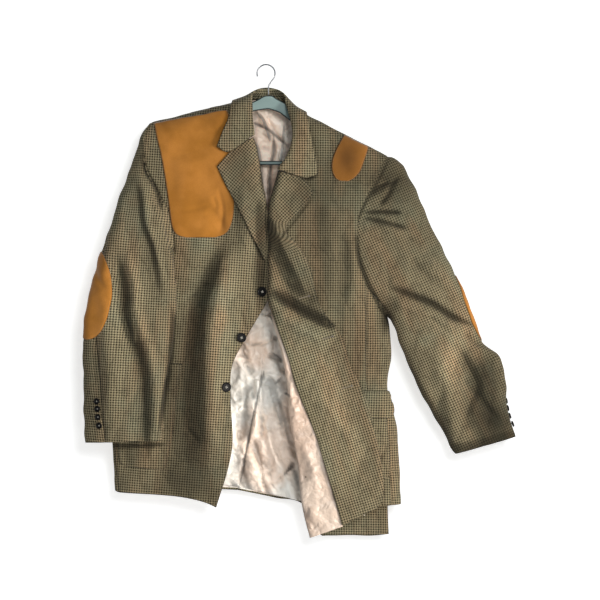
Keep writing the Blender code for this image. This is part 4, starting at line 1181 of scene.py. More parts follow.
class Finish(Tree):
    """A material: one Principled shader and what feeds it."""

    def __init__(self, name, **constants):
        self.material = bpy.data.materials.new(name)
        self.material.use_nodes = True
        super().__init__(self.material.node_tree)
        self.shader = self.nodes["Principled BSDF"]
        self.set(**constants)

    def set(self, **values):
        """Numbers, colours or links for the shader's sockets, with _ for the spaces in their names."""
        for key, value in values.items():
            self.feed(self.shader.inputs[key.replace("_", " ")], value)

    def objects(self):
        return self.node("ShaderNodeTexCoord", out="Object")

    def attribute(self, name):
        return self.node("ShaderNodeAttribute", {"attribute_name": name}, out="Fac")

    def noise(self, where, scale, detail=2.0, roughness=0.5):
        return self.node("ShaderNodeTexNoise", {}, {"Vector": where, "Scale": scale, "Detail": detail,
                                                    "Roughness": roughness}, out="Fac")

    def stretched(self, where, scale):
        return self.node("ShaderNodeMapping", {}, {"Vector": where, "Scale": scale})

    def blend(self, first, second, share):
        inputs = {0: share, 6: first, 7: second}
        return self.node("ShaderNodeMix", {"data_type": "RGBA"}, inputs, out=2)

    def shaded(self, colour, amount):
        """A colour times a number, through a vector node, so that it keeps its hue."""
        return self.node("ShaderNodeVectorMath", {"operation": "SCALE"}, {0: colour, "Scale": amount})

    def bump(self, height, depth, strength=1.0):
        self.set(Normal=self.node("ShaderNodeBump", {}, {"Height": height, "Distance": depth,
                                                        "Strength": strength}))


def colour(red, green, blue):
    """A colour from its 0 to 255 screen values."""
    def linear(value):
        value /= 255
        return value / 12.92 if value <= 0.04045 else ((value + 0.055) / 1.055) ** 2.4
    return (linear(red), linear(green), linear(blue), 1.0)


# %% [markdown]
# ## The wool check
# A shepherd's check needs only two yarns: four dark threads and four light ones, warp and weft alike,
# in a two-and-two twill. Whichever thread lies on top gives the colour, and the little broken checks
# come out by themselves. So the material works out the thread numbers from the UV map and asks which
# one is on top, instead of drawing a pattern.

# %% Wool check
THREAD = 0.00064
THREADS_OF_ONE_COLOUR = 4
WRINKLE_HEIGHT = 40


def wool_check():
    wool = Finish("wool_check", Sheen_Weight=0.05, Sheen_Roughness=0.5, Specular_IOR_Level=0.12)
    place = wool.node("ShaderNodeUVMap", {"uv_map": "weave"})
    across = wool.node("ShaderNodeSeparateXYZ", {}, {0: place})
    u = across / THREAD
    v = across.beside("Y") / THREAD
    warp = u.floor()
    weft = v.floor()
    repeat = 2 * THREADS_OF_ONE_COLOUR
    warp_on_top = (warp + weft) % THREADS_OF_ONE_COLOUR < THREADS_OF_ONE_COLOUR / 2
    warp_light = warp % repeat < THREADS_OF_ONE_COLOUR
    weft_light = weft % repeat < THREADS_OF_ONE_COLOUR
    light = warp_light * warp_on_top + weft_light * (1 - warp_on_top)

    here = wool.objects()
    blotch = wool.noise(here, 11.0, 3.0)
    streak = wool.noise(wool.stretched(place, (26.0, 4.0, 1.0)), 1.0, 2.0)
    fleck = wool.noise(here, 900.0, 2.0, 0.7)
    warm = wool.blend(colour(142, 131, 104), colour(155, 131, 101), streak.between(0.42, 0.72) * 0.8)
    cool = wool.blend(warm, colour(124, 126, 106), blotch.between(0.48, 0.72) * 0.45)
    dark = wool.blend(colour(42, 38, 27), colour(43, 44, 32), blotch.between(0.4, 0.7))
    # painted light and shade from the mesh; the dark yarn takes half of it
    nap = wool.attribute("nap")
    yarn = wool.blend(wool.shaded(dark, nap * 0.5 + 0.5), wool.shaded(cool, nap), light)
    worn = 1 + (fleck - 0.5) * 0.5 + (blotch - 0.5) * 0.3
    # painted shade: the colour darkens in the troughs of the folds
    hollow = wool.attribute("fold").between(-0.009, 0.002) * 0.35 + 0.65
    # painted shade: the wool darkens towards its cut edges
    edge_shade_and_wear = wool.attribute("edge").between(0.0002, 0.0024) * 0.45 + 0.55
    # painted shade: the colour darkens along the fine wrinkles, which also raise the bump
    wrinkle = (wool.noise(wool.stretched(here, (1.0, 1.0, 0.4)), 30.0, 2.0) - 0.5).math("ABSOLUTE")
    painted_wrinkle_shade = wrinkle.between(0, 0.04) * 0.2 + 0.82
    wool.set(Base_Color=wool.shaded(yarn, worn * hollow * edge_shade_and_wear * painted_wrinkle_shade), Roughness=0.8 + fleck * 0.18)
    warp_round = (u * pi).math("SINE").math("ABSOLUTE")
    weft_round = (v * pi).math("SINE").math("ABSOLUTE")
    weave = warp_round * warp_on_top + weft_round * (1 - warp_on_top)
    wool.bump(weave * 0.6 + fleck * 0.8 + wrinkle * WRINKLE_HEIGHT, 0.00022, 0.6)
    return wool.material


# %% [markdown]
# ## Satin, suede and the hard finishes
# Lining satin shines in soft bands, shows every small crease and takes its colour from what is near
# it. Suede is the rough side of leather: no shine, a short nap that lies light or dark as it was last
# brushed, and edges that darken with handling.

# %% Satin lining
def satin(name, warm, light, fill):
    """Satin between two tones; fill says how light it is in all."""
    lining = Finish(name, Sheen_Weight=0.12, Specular_IOR_Level=0.55, Anisotropic=0.35)
    here = lining.objects()
    drift = lining.noise(here, 7.0, 2.0)
    cloud = lining.noise(here, 38.0, 3.0)
    tone = lining.blend(light, warm, drift.between(0.42, 0.6))
    # painted shade: the satin darkens in the troughs of its creases
    hollow = lining.attribute("fold").between(-0.008, 0.001) * 0.55 + 0.45
    wide = (lining.noise(here, 26.0, 2.0, 0.4) - 0.5).math("ABSOLUTE")
    sharp = (lining.noise(here, 62.0, 2.0, 0.5) - 0.5).math("ABSOLUTE")
    # the colour also takes the mesh's painted light and shade
    lining.set(Base_Color=lining.shaded(tone, (fill + cloud * 0.14) * hollow * lining.attribute("nap")),
               Roughness=0.3 + cloud * 0.16)
    lining.bump(wide + sharp * 0.3, 0.022, 0.75)
    return lining.material


# %% Suede patches
def suede():
    hide = Finish("suede_patch", Sheen_Weight=0.25, Sheen_Roughness=0.45, Specular_IOR_Level=0.15)
    here = hide.objects()
    brushed = hide.noise(here, 16.0, 3.0, 0.6)
    # this noise is the suede's own nap; the mesh attribute read below is painted light and shade
    nap = hide.noise(here, 420.0, 3.0, 0.7)
    grain = hide.noise(here, 1500.0, 2.0, 0.7)
    tone = hide.blend(colour(148, 96, 33), colour(168, 111, 47), brushed.between(0.3, 0.7))
    # the suede darkens towards its edges as worn suede does
    edge_shade_and_wear = hide.attribute("edge").between(0.0003, 0.0022) * 0.45 + 0.55
    hide.set(Base_Color=hide.shaded(tone, (0.82 + nap * 0.36) * edge_shade_and_wear * hide.attribute("nap")),
             Roughness=0.78 + grain * 0.2)
    hide.bump(nap * 0.7 + grain * 0.5, 0.0004, 0.55)
    return hide.material


# %% Horn, plastic, steel and thread
def horn():
    finish = Finish("button_horn", Specular_IOR_Level=0.16, Coat_Weight=0.06, Coat_Roughness=0.2)
    swirl = finish.noise(finish.stretched(finish.objects(), (1.0, 1.0, 2.6)), 190.0, 4.0, 0.6)
    finish.set(Base_Color=finish.blend(colour(5, 4, 4), colour(18, 15, 12), swirl.between(0.55, 0.8)),
               Roughness=0.28 + swirl * 0.2)
    finish.bump(swirl, 0.0001, 0.4)
    return finish.material


def teal_plastic(name, shade):
    finish = Finish(name, Specular_IOR_Level=0.5)
    here = finish.objects()
    cloud = finish.noise(here, 14.0, 2.0)
    grain = finish.noise(here, 700.0, 2.0)
    tone = finish.blend(colour(104, 127, 125), colour(120, 140, 137), cloud)
    finish.set(Base_Color=finish.shaded(tone, shade), Roughness=0.38 + grain * 0.2)
    finish.bump(grain, 0.00008, 0.5)
    return finish.material


def steel():
    finish = Finish("hook_steel", Metallic=1.0)
    drawn = finish.noise(finish.stretched(finish.objects(), (1.0, 1.0, 6.0)), 500.0, 2.0)
    finish.set(Base_Color=finish.blend(colour(104, 106, 110), colour(150, 152, 156), drawn),
               Roughness=0.3 + drawn * 0.2)
    finish.bump(drawn, 0.00003, 0.4)
    return finish.material


def sewing_thread(name, red, green, blue):
    finish = Finish(name, Sheen_Weight=0.2)
    twist = finish.noise(finish.objects(), 1800.0, 2.0)
    tone = finish.blend(colour(red, green, blue), (1, 1, 1, 1), 0.04)
    finish.set(Base_Color=finish.shaded(tone, 0.7 + twist * 0.5), Roughness=0.6 + twist * 0.3)
    finish.bump(twist, 0.0001, 0.5)
    return finish.material


WOOL = wool_check()
SATIN = satin("satin_lining", colour(250, 228, 210), colour(252, 247, 238), 0.94)
# the strip is the lining's own satin; its lower fill is painted shade that tones down the main lamp on it
SHADED_STRIP_SATIN = satin("satin_strip_painted_shade", colour(236, 205, 182), colour(236, 214, 195), 0.68)
SUEDE = suede()
HORN = horn()
TEAL = teal_plastic("hanger_teal", 1.0)
# a dark copy of the teal: painted shadow for the hanger plate's sides
TEAL_PAINTED_SHADOW = teal_plastic("hanger_edge", 0.12)
STEEL = steel()
TAN_THREAD = sewing_thread("tan_thread", 150, 104, 50)
WOOL_THREAD = sewing_thread("wool_thread", 92, 82, 60)
PALE_THREAD = sewing_thread("pale_thread", 142, 126, 98)
HOLE_THREAD = sewing_thread("hole_thread", 118, 104, 78)
GREY_THREAD = sewing_thread("grey_thread", 150, 146, 136)
# not a thread: painted shade for the buttonhole cuts
PAINTED_SLIT_SHADE = sewing_thread("painted_slit_shade", 30, 27, 24)
print("materials:", len(bpy.data.materials))

# %% [markdown]
# ## The body
# Fronts, backs and side panels, each on its own surface. Their seams are pressed in, and their free
# edges, at the fronts and the hem, are not.

# %% Fronts, backs and sides
CLOTH_WALL = 1.6
SATIN_WALL = 0.5
LEATHER_WALL = 1.3
SATIN_STEP, FINE, MEDIUM, COARSE = 2.4, 2.8, 3.6, 4.6

front_right_cut = panel(FRONT_RIGHT, -1, corner_droop)
front_left_cut = panel(FRONT_LEFT, -1, corner_droop)
back_right_cut = panel(BACK_RIGHT, 1, hem_wave)
back_left_cut = panel(BACK_LEFT, 1, hem_wave)


def keep(obj, slot, *nodes):
    """Gives a piece its body and hides the CAD nodes it stands for. The slot is not used."""
    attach(obj, "root")
    if nodes:
        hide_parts(*nodes)
    return obj


def wool(node, place, hang, **options):
    piece = cloth(node + "_cloth", place, hang, WOOL, CLOTH_WALL, **options)
    return keep(piece, "wool_check", node)


THIN_HEM = 5.0
DEEP_HEM = 64.0


def vent_hem(s):
    """The left back's hem is turned up deep beside the vent."""
    return mix(DEEP_HEM, THIN_HEM, soft_step(s, 0.5, 0.57))


wool("front_right", front_right_cut, body_hang, step=FINE, lined=SATIN, seams="l", pinned="l", grain=-4)
wool("front_left", front_left_cut, body_hang, step=FINE, flip=True, lined=SATIN, pinned="l", quiet="l")
wool("back_right", back_right_cut, body_hang, step=COARSE, flip=True, lined=SATIN, seams="lr",
     pinned="l", hem=THIN_HEM)
wool("back_left", back_left_cut, body_hang, step=COARSE, lined=SATIN, seams="lr", pinned="l",
     hem=vent_hem)
wool("side_right", side_panel(SIDE_RIGHT, -1, ARMHOLE_RIGHT, 155, 205), body_hang, step=COARSE,
     flip=True, lined=SATIN, seams="lrt", pinned="lrt")
wool("side_left", side_panel(SIDE_LEFT, 1, ARMHOLE_LEFT, 145, 210), body_hang, step=COARSE,
     lined=SATIN, seams="rt", pinned="lrt", quiet="l")

# %% Lapel, facing, collar and lining
FACING_LIFT = 9.5
LAPEL_LIFT = 5.0
STRIP_LIFT = 5.4
LINING_LIFT = 10.5

lapel_cut = laid_on(LAPEL_RIGHT, -1, (1,))
facing_cut = laid_on(FACING_LEFT, -1, (1,))
lapel_off = lapel_rise(LAPEL_RIGHT, LAPEL_LIFT, (1,))
facing_off = facing_rise(FACING_LEFT, FACING_LIFT, (1,))


def facing_grain():
    """The lapel is cut on its own grain, the facing below it along its long edge."""
    _, t = cells(facing_cut, FINE)
    return mix(46.0, 17.5, soft_step(t[:, 0], 0.16, 0.26))


wool("lapel_right", lapel_cut, front_hang, step=FINE, lift=lapel_off, grain=-40)
wool("facing_left", facing_cut, facing_hang, step=FINE, lift=facing_off, grain=facing_grain())
wool("collar", collar_surface, still, step=FINE, flip=True)

strip_off = strip_rise(LINING_FRONT_LEFT, STRIP_LIFT)
strip = cloth("lining_front_left_cloth", laid_on(LINING_FRONT_LEFT, -1), strip_hang, SHADED_STRIP_SATIN,
              SATIN_WALL, step=FINE, lift=strip_off, pinned="r", pin_low=-2000.0)
keep(strip, "satin_lining", "lining_front_left")
LINING_BACK_RIGHT = [
    (-60, -100, 5, -76), (-120, -150, 5, -150), (-150, -250, 3, -250), (-165, -400, 1, -400),
    (-180, -550, -3, -550), (-195, -700, -17, -700), (-200, -859, -55, -870),
]
LINING_BACK_LEFT = [
    (3, -76, 74, -118), (3, -150, 130, -175), (1, -250, 160, -265), (-1, -400, 175, -400),
    (-5, -550, 185, -560), (-19, -700, 195, -720), (-57, -871, 205, -930),
]
for node, rows, under in (("lining_back_right", LINING_BACK_RIGHT, 0.7),
                          ("lining_back_left", LINING_BACK_LEFT, 0.0)):
    piece = cloth(node + "_cloth", laid_on(rows, 1), lining_hang, SATIN, SATIN_WALL, step=SATIN_STEP,
                  lift=LINING_LIFT + under)
    keep(piece, "satin_lining", node)
print("turned parts and lining made")

# %% [markdown]
# ## Sleeves
# Two pieces each. Their long seams are pressed in like the body's, the head is sewn into the armhole,
# and the cuff is left open, with the lining inside.

# %% Sleeve tops and under sleeves
SLEEVE_AXIS_RIGHT = -3.0
SLEEVE_AXIS_LEFT = 24.0


def make_sleeve(side, rings, holes, hind, fore, front_folds, back_folds, flip, grain, seed):
    surface = sleeve(rings, holes)
    hang = sleeve_hang(front_folds, back_folds, seed)
    top = sleeve_part(surface, rings, hind, fore)
    lower = sleeve_part(surface, rings, fore, tuple(value + 360 for value in hind))
    for part, cut, step in (("top", top, FINE), ("under", lower, MEDIUM)):
        wool(f"sleeve_{side}_{part}", cut, hang, step=step, flip=flip, lined=SATIN, seams="lrt", dip=2.4,
             reach=5.0, pinned="t", tuck=HEAD_TUCK, grain=grain)
    return surface, hang


right_sleeve, right_hang = make_sleeve(
    "right", SLEEVE_RIGHT, ARMHOLE_RIGHT, HIND_SEAM_RIGHT, FORE_SEAM_RIGHT,
    SLEEVE_RIGHT_FOLDS, SLEEVE_RIGHT_BACK_FOLDS, False, SLEEVE_AXIS_RIGHT, 21)
left_sleeve, left_hang = make_sleeve(
    "left", SLEEVE_LEFT, ARMHOLE_LEFT, HIND_SEAM_LEFT, FORE_SEAM_LEFT,
    SLEEVE_LEFT_FOLDS, SLEEVE_LEFT_BACK_FOLDS, True, SLEEVE_AXIS_LEFT, 31)
print("sleeves made")

# %% [markdown]
# ## Patches, pockets and flaps
# They are laid on the same hung surface, a wall's thickness out, and their borders are sewn down, so
# each one is pulled in along its edge and stands a little proud inside it.

# %% Shapes of the laid-on pieces (mm)
PATCH_SHOULDER_RIGHT = [
    (-230, -121, -79, -95), (-224, -150, -74, -116), (-213, -197, -66, -172), (-203, -258, -64, -245),
    (-197, -305, -66, -305), (-192, -335, -74, -336), (-182, -350, -86, -350), (-164, -356, -104, -356),
]
PATCH_SHOULDER_LEFT = [
    (160, -145, 210, -171), (146, -171, 205, -188), (136, -196, 199, -205), (135, -218, 192, -222),
    (142, -234, 180, -235), (152, -240, 168, -241),
]
POCKET_RIGHT = [
    (-296, -632, -178, -640), (-303, -700, -185, -700), (-305, -771, -194, -771), (-304, -805, -202, -808),
    (-300, -820, -205, -826), (-285, -826, -213, -834),
]
POCKET_LEFT = [
    (160, -688, 240, -688), (166, -730, 248, -730), (172, -790, 254, -790), (176, -830, 256, -830),
    (180, -846, 254, -846), (190, -853, 240, -853),
]
FLAP_RIGHT = [
    (-258, -608, -172, -615), (-260, -634, -175, -640), (-260, -655, -180, -660), (-252, -663, -188, -668),
]
FLAP_LEFT = [
    (150, -669, 250, -671), (154, -700, 257, -700), (160, -718, 259, -719), (168, -726, 252, -727),
]
PATCH_LIFT = 2.2
POCKET_LIFT = 2.4
FLAP_LIFT = 5.4
print("rows of the gun patch:", len(PATCH_SHOULDER_RIGHT))

# %% Patches, pockets and flaps in place
Laid = namedtuple("Laid", "place hang lift flip")
laid = {}


def suede_piece(node, place, hang, lift, flip=False, open_top=False):
    laid[node] = Laid(place, hang, lift, flip)
    piece = cloth(node + "_suede", place, hang, SUEDE, LEATHER_WALL, step=FINE, lift=lift, flip=flip,
                  seams="lrb" if open_top else "lrtb", dip=0.9, reach=3.2)
    return keep(piece, "suede_patch", node)


def wool_laid(node, rows, lift, seams):
    place = laid_on(rows, -1)
    laid[node] = Laid(place, front_hang, lift, False)
    wool(node, place, front_hang, step=FINE, lift=lift, seams=seams, dip=1.3, reach=3.0, grain=-2)


for node, rows in (("shoulder_patch_right", PATCH_SHOULDER_RIGHT),
                   ("shoulder_patch_left", PATCH_SHOULDER_LEFT)):
    suede_piece(node, laid_on(rows, -1), front_hang, PATCH_LIFT, open_top=True)
suede_piece("elbow_patch_right", elbow_oval(right_sleeve, ELBOW_RIGHT, len(SLEEVE_RIGHT) - 1),
            right_hang, PATCH_LIFT)
suede_piece("elbow_patch_left", elbow_oval(left_sleeve, ELBOW_LEFT, len(SLEEVE_LEFT) - 1),
            left_hang, PATCH_LIFT, flip=True)
wool_laid("pocket_right", POCKET_RIGHT, POCKET_LIFT, "lrb")
wool_laid("pocket_left", POCKET_LEFT, POCKET_LIFT, "lrb")
wool_laid("flap_right", FLAP_RIGHT, FLAP_LIFT, "t")
wool_laid("flap_left", FLAP_LEFT, FLAP_LIFT, "t")
print("laid on:", ", ".join(laid))

# %% [markdown]
# ## Stitches
# A row of stitches is one small capsule of thread, repeated along a path at a fixed pitch. Geometry
# Nodes does it: the path is a line of points on the cloth that also carries which way is out, the line
# is resampled to the pitch, and a capsule is set on each point, turned to the line. Instances are
# realized at the end, so the result is a plain mesh.

# %% A node tree that sews along a path
STITCH_INPUTS = (("Geometry", "NodeSocketGeometry", None), ("Pitch", "NodeSocketFloat", 0.003),
                 ("Length", "NodeSocketFloat", 0.002), ("Thickness", "NodeSocketFloat", 0.0005),
                 ("Turn", "NodeSocketFloat", 0.0), ("Thread", "NodeSocketMaterial", None))


def sewing_tree():
    group = bpy.data.node_groups.new("sewing", "GeometryNodeTree")
    for name, kind, default in STITCH_INPUTS:
        socket = group.interface.new_socket(name, in_out="INPUT", socket_type=kind)
        if default is not None:
            socket.default_value = default
    group.interface.new_socket("Geometry", in_out="OUTPUT", socket_type="NodeSocketGeometry")
    tree = Tree(group)
    given = tree.node("NodeGroupInput")
    value = {name: given.beside(name) for name, _, _ in STITCH_INPUTS}
    line = tree.node("GeometryNodeMeshToCurve", {}, {"Mesh": value["Geometry"]})
    even = tree.node("GeometryNodeResampleCurve", {"mode": "LENGTH"},
                     {"Curve": line, "Length": value["Pitch"]})
    points = tree.node("GeometryNodeCurveToPoints", {"mode": "EVALUATED"}, {"Curve": even}, out="Points")
    up = tree.node("GeometryNodeInputNamedAttribute", {"data_type": "FLOAT_VECTOR"}, {"Name": "up"})
    upright = tree.node("FunctionNodeAlignRotationToVector", {"axis": "Z"}, {"Vector": up})
    along_line = tree.node("FunctionNodeAlignRotationToVector", {"axis": "X", "pivot_axis": "Z"},
                           {"Rotation": upright, "Vector": points.beside("Tangent")})
    spin = tree.node("FunctionNodeAxisAngleToRotation", {}, {"Axis": (0, 0, 1), "Angle": value["Turn"]})
    turned = tree.node("FunctionNodeRotateRotation", {"rotation_space": "LOCAL"},
                       {"Rotation": along_line, "Rotate By": spin})
    ball = tree.node("GeometryNodeMeshUVSphere", {}, {"Segments": 6, "Rings": 4, "Radius": 0.5})
    size = tree.node("ShaderNodeCombineXYZ", {},
                     {"X": value["Length"], "Y": value["Thickness"], "Z": value["Thickness"]})
    stitch = tree.node("GeometryNodeTransform", {}, {"Geometry": ball, "Scale": size})
    sewn = tree.node("GeometryNodeInstanceOnPoints", {},
                     {"Points": points, "Instance": stitch, "Rotation": turned})
    real = tree.node("GeometryNodeRealizeInstances", {}, {"Geometry": sewn})
    thread = tree.node("GeometryNodeSetMaterial", {}, {"Geometry": real, "Material": value["Thread"]})
    tree.node("NodeGroupOutput", {}, {"Geometry": thread})
    return group


SEWING = sewing_tree()
STITCH_TURN = {"along": 0.0, "across": pi / 2}
print("sewing tree:", len(SEWING.nodes), "nodes")


# %% Sewing along paths
def plain_mesh(draft):
    """What an object looks like with its modifiers, as a plain mesh; the draft itself goes."""
    bpy.context.view_layer.update()
    made = bpy.data.meshes.new_from_object(draft.evaluated_get(bpy.context.evaluated_depsgraph_get()))
    bpy.data.objects.remove(draft)
    return made


def sew(name, paths, thread, pitch, length, thickness, turn, slot):
    """Stitches along paths of (points, outward normals), as one plain mesh."""
    mesh = bpy.data.meshes.new(name)
    places, ups, edges = [], [], []
    for points, normals in paths:
        first = len(places)
        places.extend(np.asarray(points) * MM)
        ups.extend(np.asarray(normals))
        edges.extend((i, i + 1) for i in range(first, len(places) - 1))
    mesh.from_pydata([tuple(place) for place in places], edges, [])
    up = mesh.attributes.new("up", "FLOAT_VECTOR", "POINT")
    up.data.foreach_set("vector", np.array(ups, np.float32).ravel())
    draft = placed(name + "_path", mesh)
    nodes = draft.modifiers.new("sewing", "NODES")
    nodes.node_group = SEWING
    given = {"Pitch": pitch, "Length": length, "Thickness": thickness, "Turn": STITCH_TURN[turn],
             "Thread": thread}
    for item in SEWING.interface.items_tree:
        if item.in_out == "INPUT" and item.name in given:
            nodes[item.identifier] = given[item.name]
    sewn = plain_mesh(draft)
    sewn.name = name
    sewn.shade_smooth()
    print(name + ":", len(sewn.polygons), "faces")
    return keep(placed(name, sewn), slot)


def seam_path(piece, s, t, above):
    """A line on a laid-on piece at arrays of places, just above its surface."""
    s, t = np.broadcast_arrays(np.asarray(s, float), np.asarray(t, float))
    points, normals, _ = hung(piece.place, s, t, piece.hang, piece.lift, piece.flip)
    return points + normals * above, normals


def border_path(piece, inset, sides, above, count=160):
    """A line a fixed distance (mm) inside the named borders: l, b, r and t, in sewing order."""
    grid_s, grid_t = np.meshgrid(np.linspace(0, 1, 41), np.linspace(0, 1, 61))
    _, from_right, _, from_bottom = borders(piece.place(grid_s, grid_t))
    widths = from_right[:, 0]
    height = float(from_bottom[0].mean())
    down = np.linspace(0, 1, count)
    inside = np.clip(inset / np.interp(down, grid_t[:, 0], widths), 0, 0.45)
    top = inset / height if "t" in sides else 0.0
    bottom = 1 - inset / height
    down = mix(top, bottom, down)
    at_top, at_bottom = (float(np.clip(inset / widths[i], 0, 0.45)) for i in (0, -1))
    short = count // 2
    lines = {"l": (inside, down), "r": (1 - inside[::-1], down[::-1]),
             "b": (np.linspace(at_bottom, 1 - at_bottom, short), np.full(short, bottom)),
             "t": (np.linspace(1 - at_top, at_top, short), np.full(short, top))}
    s, t = (np.concatenate([lines[side][i] for side in sides]) for i in (0, 1))
    return seam_path(piece, s, t, above)


# %% Rows of stitches on patches, pockets and edges
PATCH_INSET = 2.2
EDGE_INSET = 5.0
FACING_ACROSS = 110
LAPEL_ACROSS = 70
FRONT_ACROSS = 260

patch_paths = [border_path(laid[node], PATCH_INSET, "lbr" if "shoulder" in node else "lbrt", -0.25)
               for node in laid if "patch" in node]
sew("patch_stitches", patch_paths, TAN_THREAD, 0.0029, 0.0023, 0.0006, "along", "suede_patch")
pocket_paths = [border_path(laid[node], EDGE_INSET, "lbr", 0.1)
                for node in ("pocket_right", "pocket_left", "flap_right", "flap_left")]
sew("pocket_stitches", pocket_paths, WOOL_THREAD, 0.0034, 0.0021, 0.00045, "along", "wool_check")

facing = Laid(facing_cut, facing_hang, facing_off, False)
lapel = Laid(lapel_cut, front_hang, lapel_off, False)
front_right = Laid(front_right_cut, front_hang, 0.0, False)
edge_paths = [
    seam_path(facing, 1 - EDGE_INSET / FACING_ACROSS, np.linspace(0.0, 0.985, 260), 0.1),
    seam_path(lapel, EDGE_INSET / LAPEL_ACROSS, np.linspace(0.13, 0.9, 120), 0.1),
    seam_path(front_right, 1 - EDGE_INSET / FRONT_ACROSS, np.linspace(0.47, 0.995, 200), 0.1),
]
sew("edge_stitches", edge_paths, WOOL_THREAD, 0.0042, 0.0019, 0.00045, "along", "wool_check")
lining_seam = [seam_path(facing, 0.6 / FACING_ACROSS, np.linspace(0.42, 0.995, 200), 0.1)]
sew("lining_stitches", lining_seam, PALE_THREAD, 0.0036, 0.0024, 0.0004, "along", "satin_lining")

# %% [markdown]
# ## Buttonholes
# A tailored buttonhole is a slot with a round eye at the edge end, bound with thread set side by side
# across the cut. It is the same sewing tree with its capsules turned a quarter turn and set close.

# %% Keyhole buttonholes on the facing
BUTTONHOLE_LENGTH = 23.0
EYE_RADIUS = 2.2
BUTTONHOLES = [(79, -478), (127, -560.5), (166, -662)]
BUTTONHOLE_SLANT = radians(16)


def place_on(cut, x, z, tries=40):
    """The s and t at which a cut passes over a place, found by halving steps."""
    s, t, step = 0.5, 0.5, 0.25
    for _ in range(tries):
        grid_s, grid_t = (np.clip(grid, 0, 1) for grid in nine_round(s, t, step))
        points = cut(grid_s, grid_t)
        off = np.hypot(points[..., 0] - x, points[..., 2] - z)
        i, j = np.unravel_index(off.argmin(), off.shape)
        s, t = float(grid_s[i, j]), float(grid_t[i, j])
        if (i, j) == (1, 1):
            step /= 2
    return s, t


def keyhole(x, z):
    """Outline of one buttonhole in the front view: along one side, round the eye and back."""
    half = 0.45
    run = np.linspace(0, BUTTONHOLE_LENGTH - 2 * EYE_RADIUS, 24)
    turns = np.radians(np.linspace(165, -165, 16))
    eye = BUTTONHOLE_LENGTH - EYE_RADIUS
    a = np.concatenate([run, eye + EYE_RADIUS * np.cos(turns), run[::-1]]) - BUTTONHOLE_LENGTH / 2
    b = np.concatenate([np.full(24, half), EYE_RADIUS * np.sin(turns), np.full(24, -half)])
    c, s = cos(BUTTONHOLE_SLANT), sin(BUTTONHOLE_SLANT)
    return x + a * c - b * s, z + a * s + b * c


def on_facing(xs, zs, above):
    spots = [place_on(facing_cut, x, z) for x, z in zip(xs, zs)]
    s, t = np.array(spots).T
    return seam_path(facing, s, t, above)


hole_paths = [on_facing(*keyhole(x, z), 0.15) for x, z in BUTTONHOLES]
sew("buttonhole_stitches", hole_paths, HOLE_THREAD, 0.00062, 0.0015, 0.0007, "across", "wool_check")


def joined(name, bm, finish, slot, *nodes):
    """A bmesh in metres made a piece, its faces turned outwards."""
    bmesh.ops.recalc_face_normals(bm, faces=bm.faces)
    mesh = bpy.data.meshes.new(name)
    bm.to_mesh(mesh)
    bm.free()
    mesh.materials.append(finish)
    mesh.shade_smooth()
    return keep(placed(name, mesh), slot, *nodes)


# each cut is a thin dark cap: painted shade in the slit and the eye
slots = bmesh.new()
SLOT_DEPTH = 0.25
for points, normals in hole_paths:
    outline = [Vector(point) for point in points - normals * 0.1]
    top = [slots.verts.new(point * MM) for point in outline]
    low = [slots.verts.new((point + Vector((0, SLOT_DEPTH, 0))) * MM) for point in outline]
    slots.faces.new(top)
    slots.faces.new(low[::-1])
    for i in range(len(top)):
        slots.faces.new((top[i - 1], low[i - 1], low[i], top[i]))
joined("buttonhole_slots", slots, PAINTED_SLIT_SHADE, "wool_check")

# %% [markdown]
# ## Buttons
# A horn button is turned: a raised rim round a dished face, with four holes. The turned part is a
# profile swept round by bmesh's spin, and the face with its holes is a filled flat curve, because a
# curve makes holes without a Boolean. Thread crosses from hole to hole.

# %% One button with its thread
FRONT_BUTTON = (10.0, 3.6)
CUFF_BUTTON = (6.6, 3.0)
RIM_PROFILE = [(0.70, 0.50), (0.76, 0.80), (0.84, 0.98), (0.92, 0.97), (0.99, 0.72), (0.98, 0.40),
               (0.86, 0.12), (0.66, 0.0), (0.60, 0.0), (0.60, 0.46)]
HOLE_OFFSET, HOLE_RADIUS = 0.19, 0.085
STRAND_STEPS = 7


def curve_mesh(lines, **settings):
    """A plain mesh of a curve: flat closed lines are filled between, others are bevelled to a wire."""
    curve = bpy.data.curves.new("draft", "CURVE")
    for key, value in settings.items():
        setattr(curve, key, value)
    for line in lines:
        spline = curve.splines.new("POLY")
        spline.points.add(len(line) - 1)
        for point, (x, y, z) in zip(spline.points, line):
            point.co = (x, y, z, 1)
        spline.use_cyclic_u = curve.dimensions == "2D"
    return plain_mesh(placed("draft", curve))


def circle(x, y, radius, count):
    turns = [2 * pi * i / count for i in range(count)]
    return [(x + radius * cos(turn), y + radius * sin(turn), 0) for turn in turns]


def button_mesh(radius, thick):
    """A button lying on z = 0, face up, in mm."""
    made = bmesh.new()
    ring = [made.verts.new((r * radius, 0, h * thick)) for r, h in RIM_PROFILE]
    edges = [made.edges.new((a, b)) for a, b in zip(ring, ring[1:] + ring[:1])]
    bmesh.ops.spin(made, geom=ring + edges, axis=(0, 0, 1), cent=(0, 0, 0), angle=2 * pi, steps=40,
                   use_merge=True)
    bmesh.ops.remove_doubles(made, verts=made.verts, dist=0.001)
    bmesh.ops.recalc_face_normals(made, faces=made.faces)
    away = HOLE_OFFSET * radius
    lines = [circle(0, 0, 0.72 * radius, 32)]
    lines += [circle(x * away, y * away, HOLE_RADIUS * radius, 10)
              for x, y in ((1, 1), (1, -1), (-1, 1), (-1, -1))]
    flat = curve_mesh(lines, dimensions="2D", fill_mode="BOTH", extrude=0.18 * thick)
    flat.transform(Matrix.Translation((0, 0, 0.34 * thick)))
    made.from_mesh(flat)
    return made


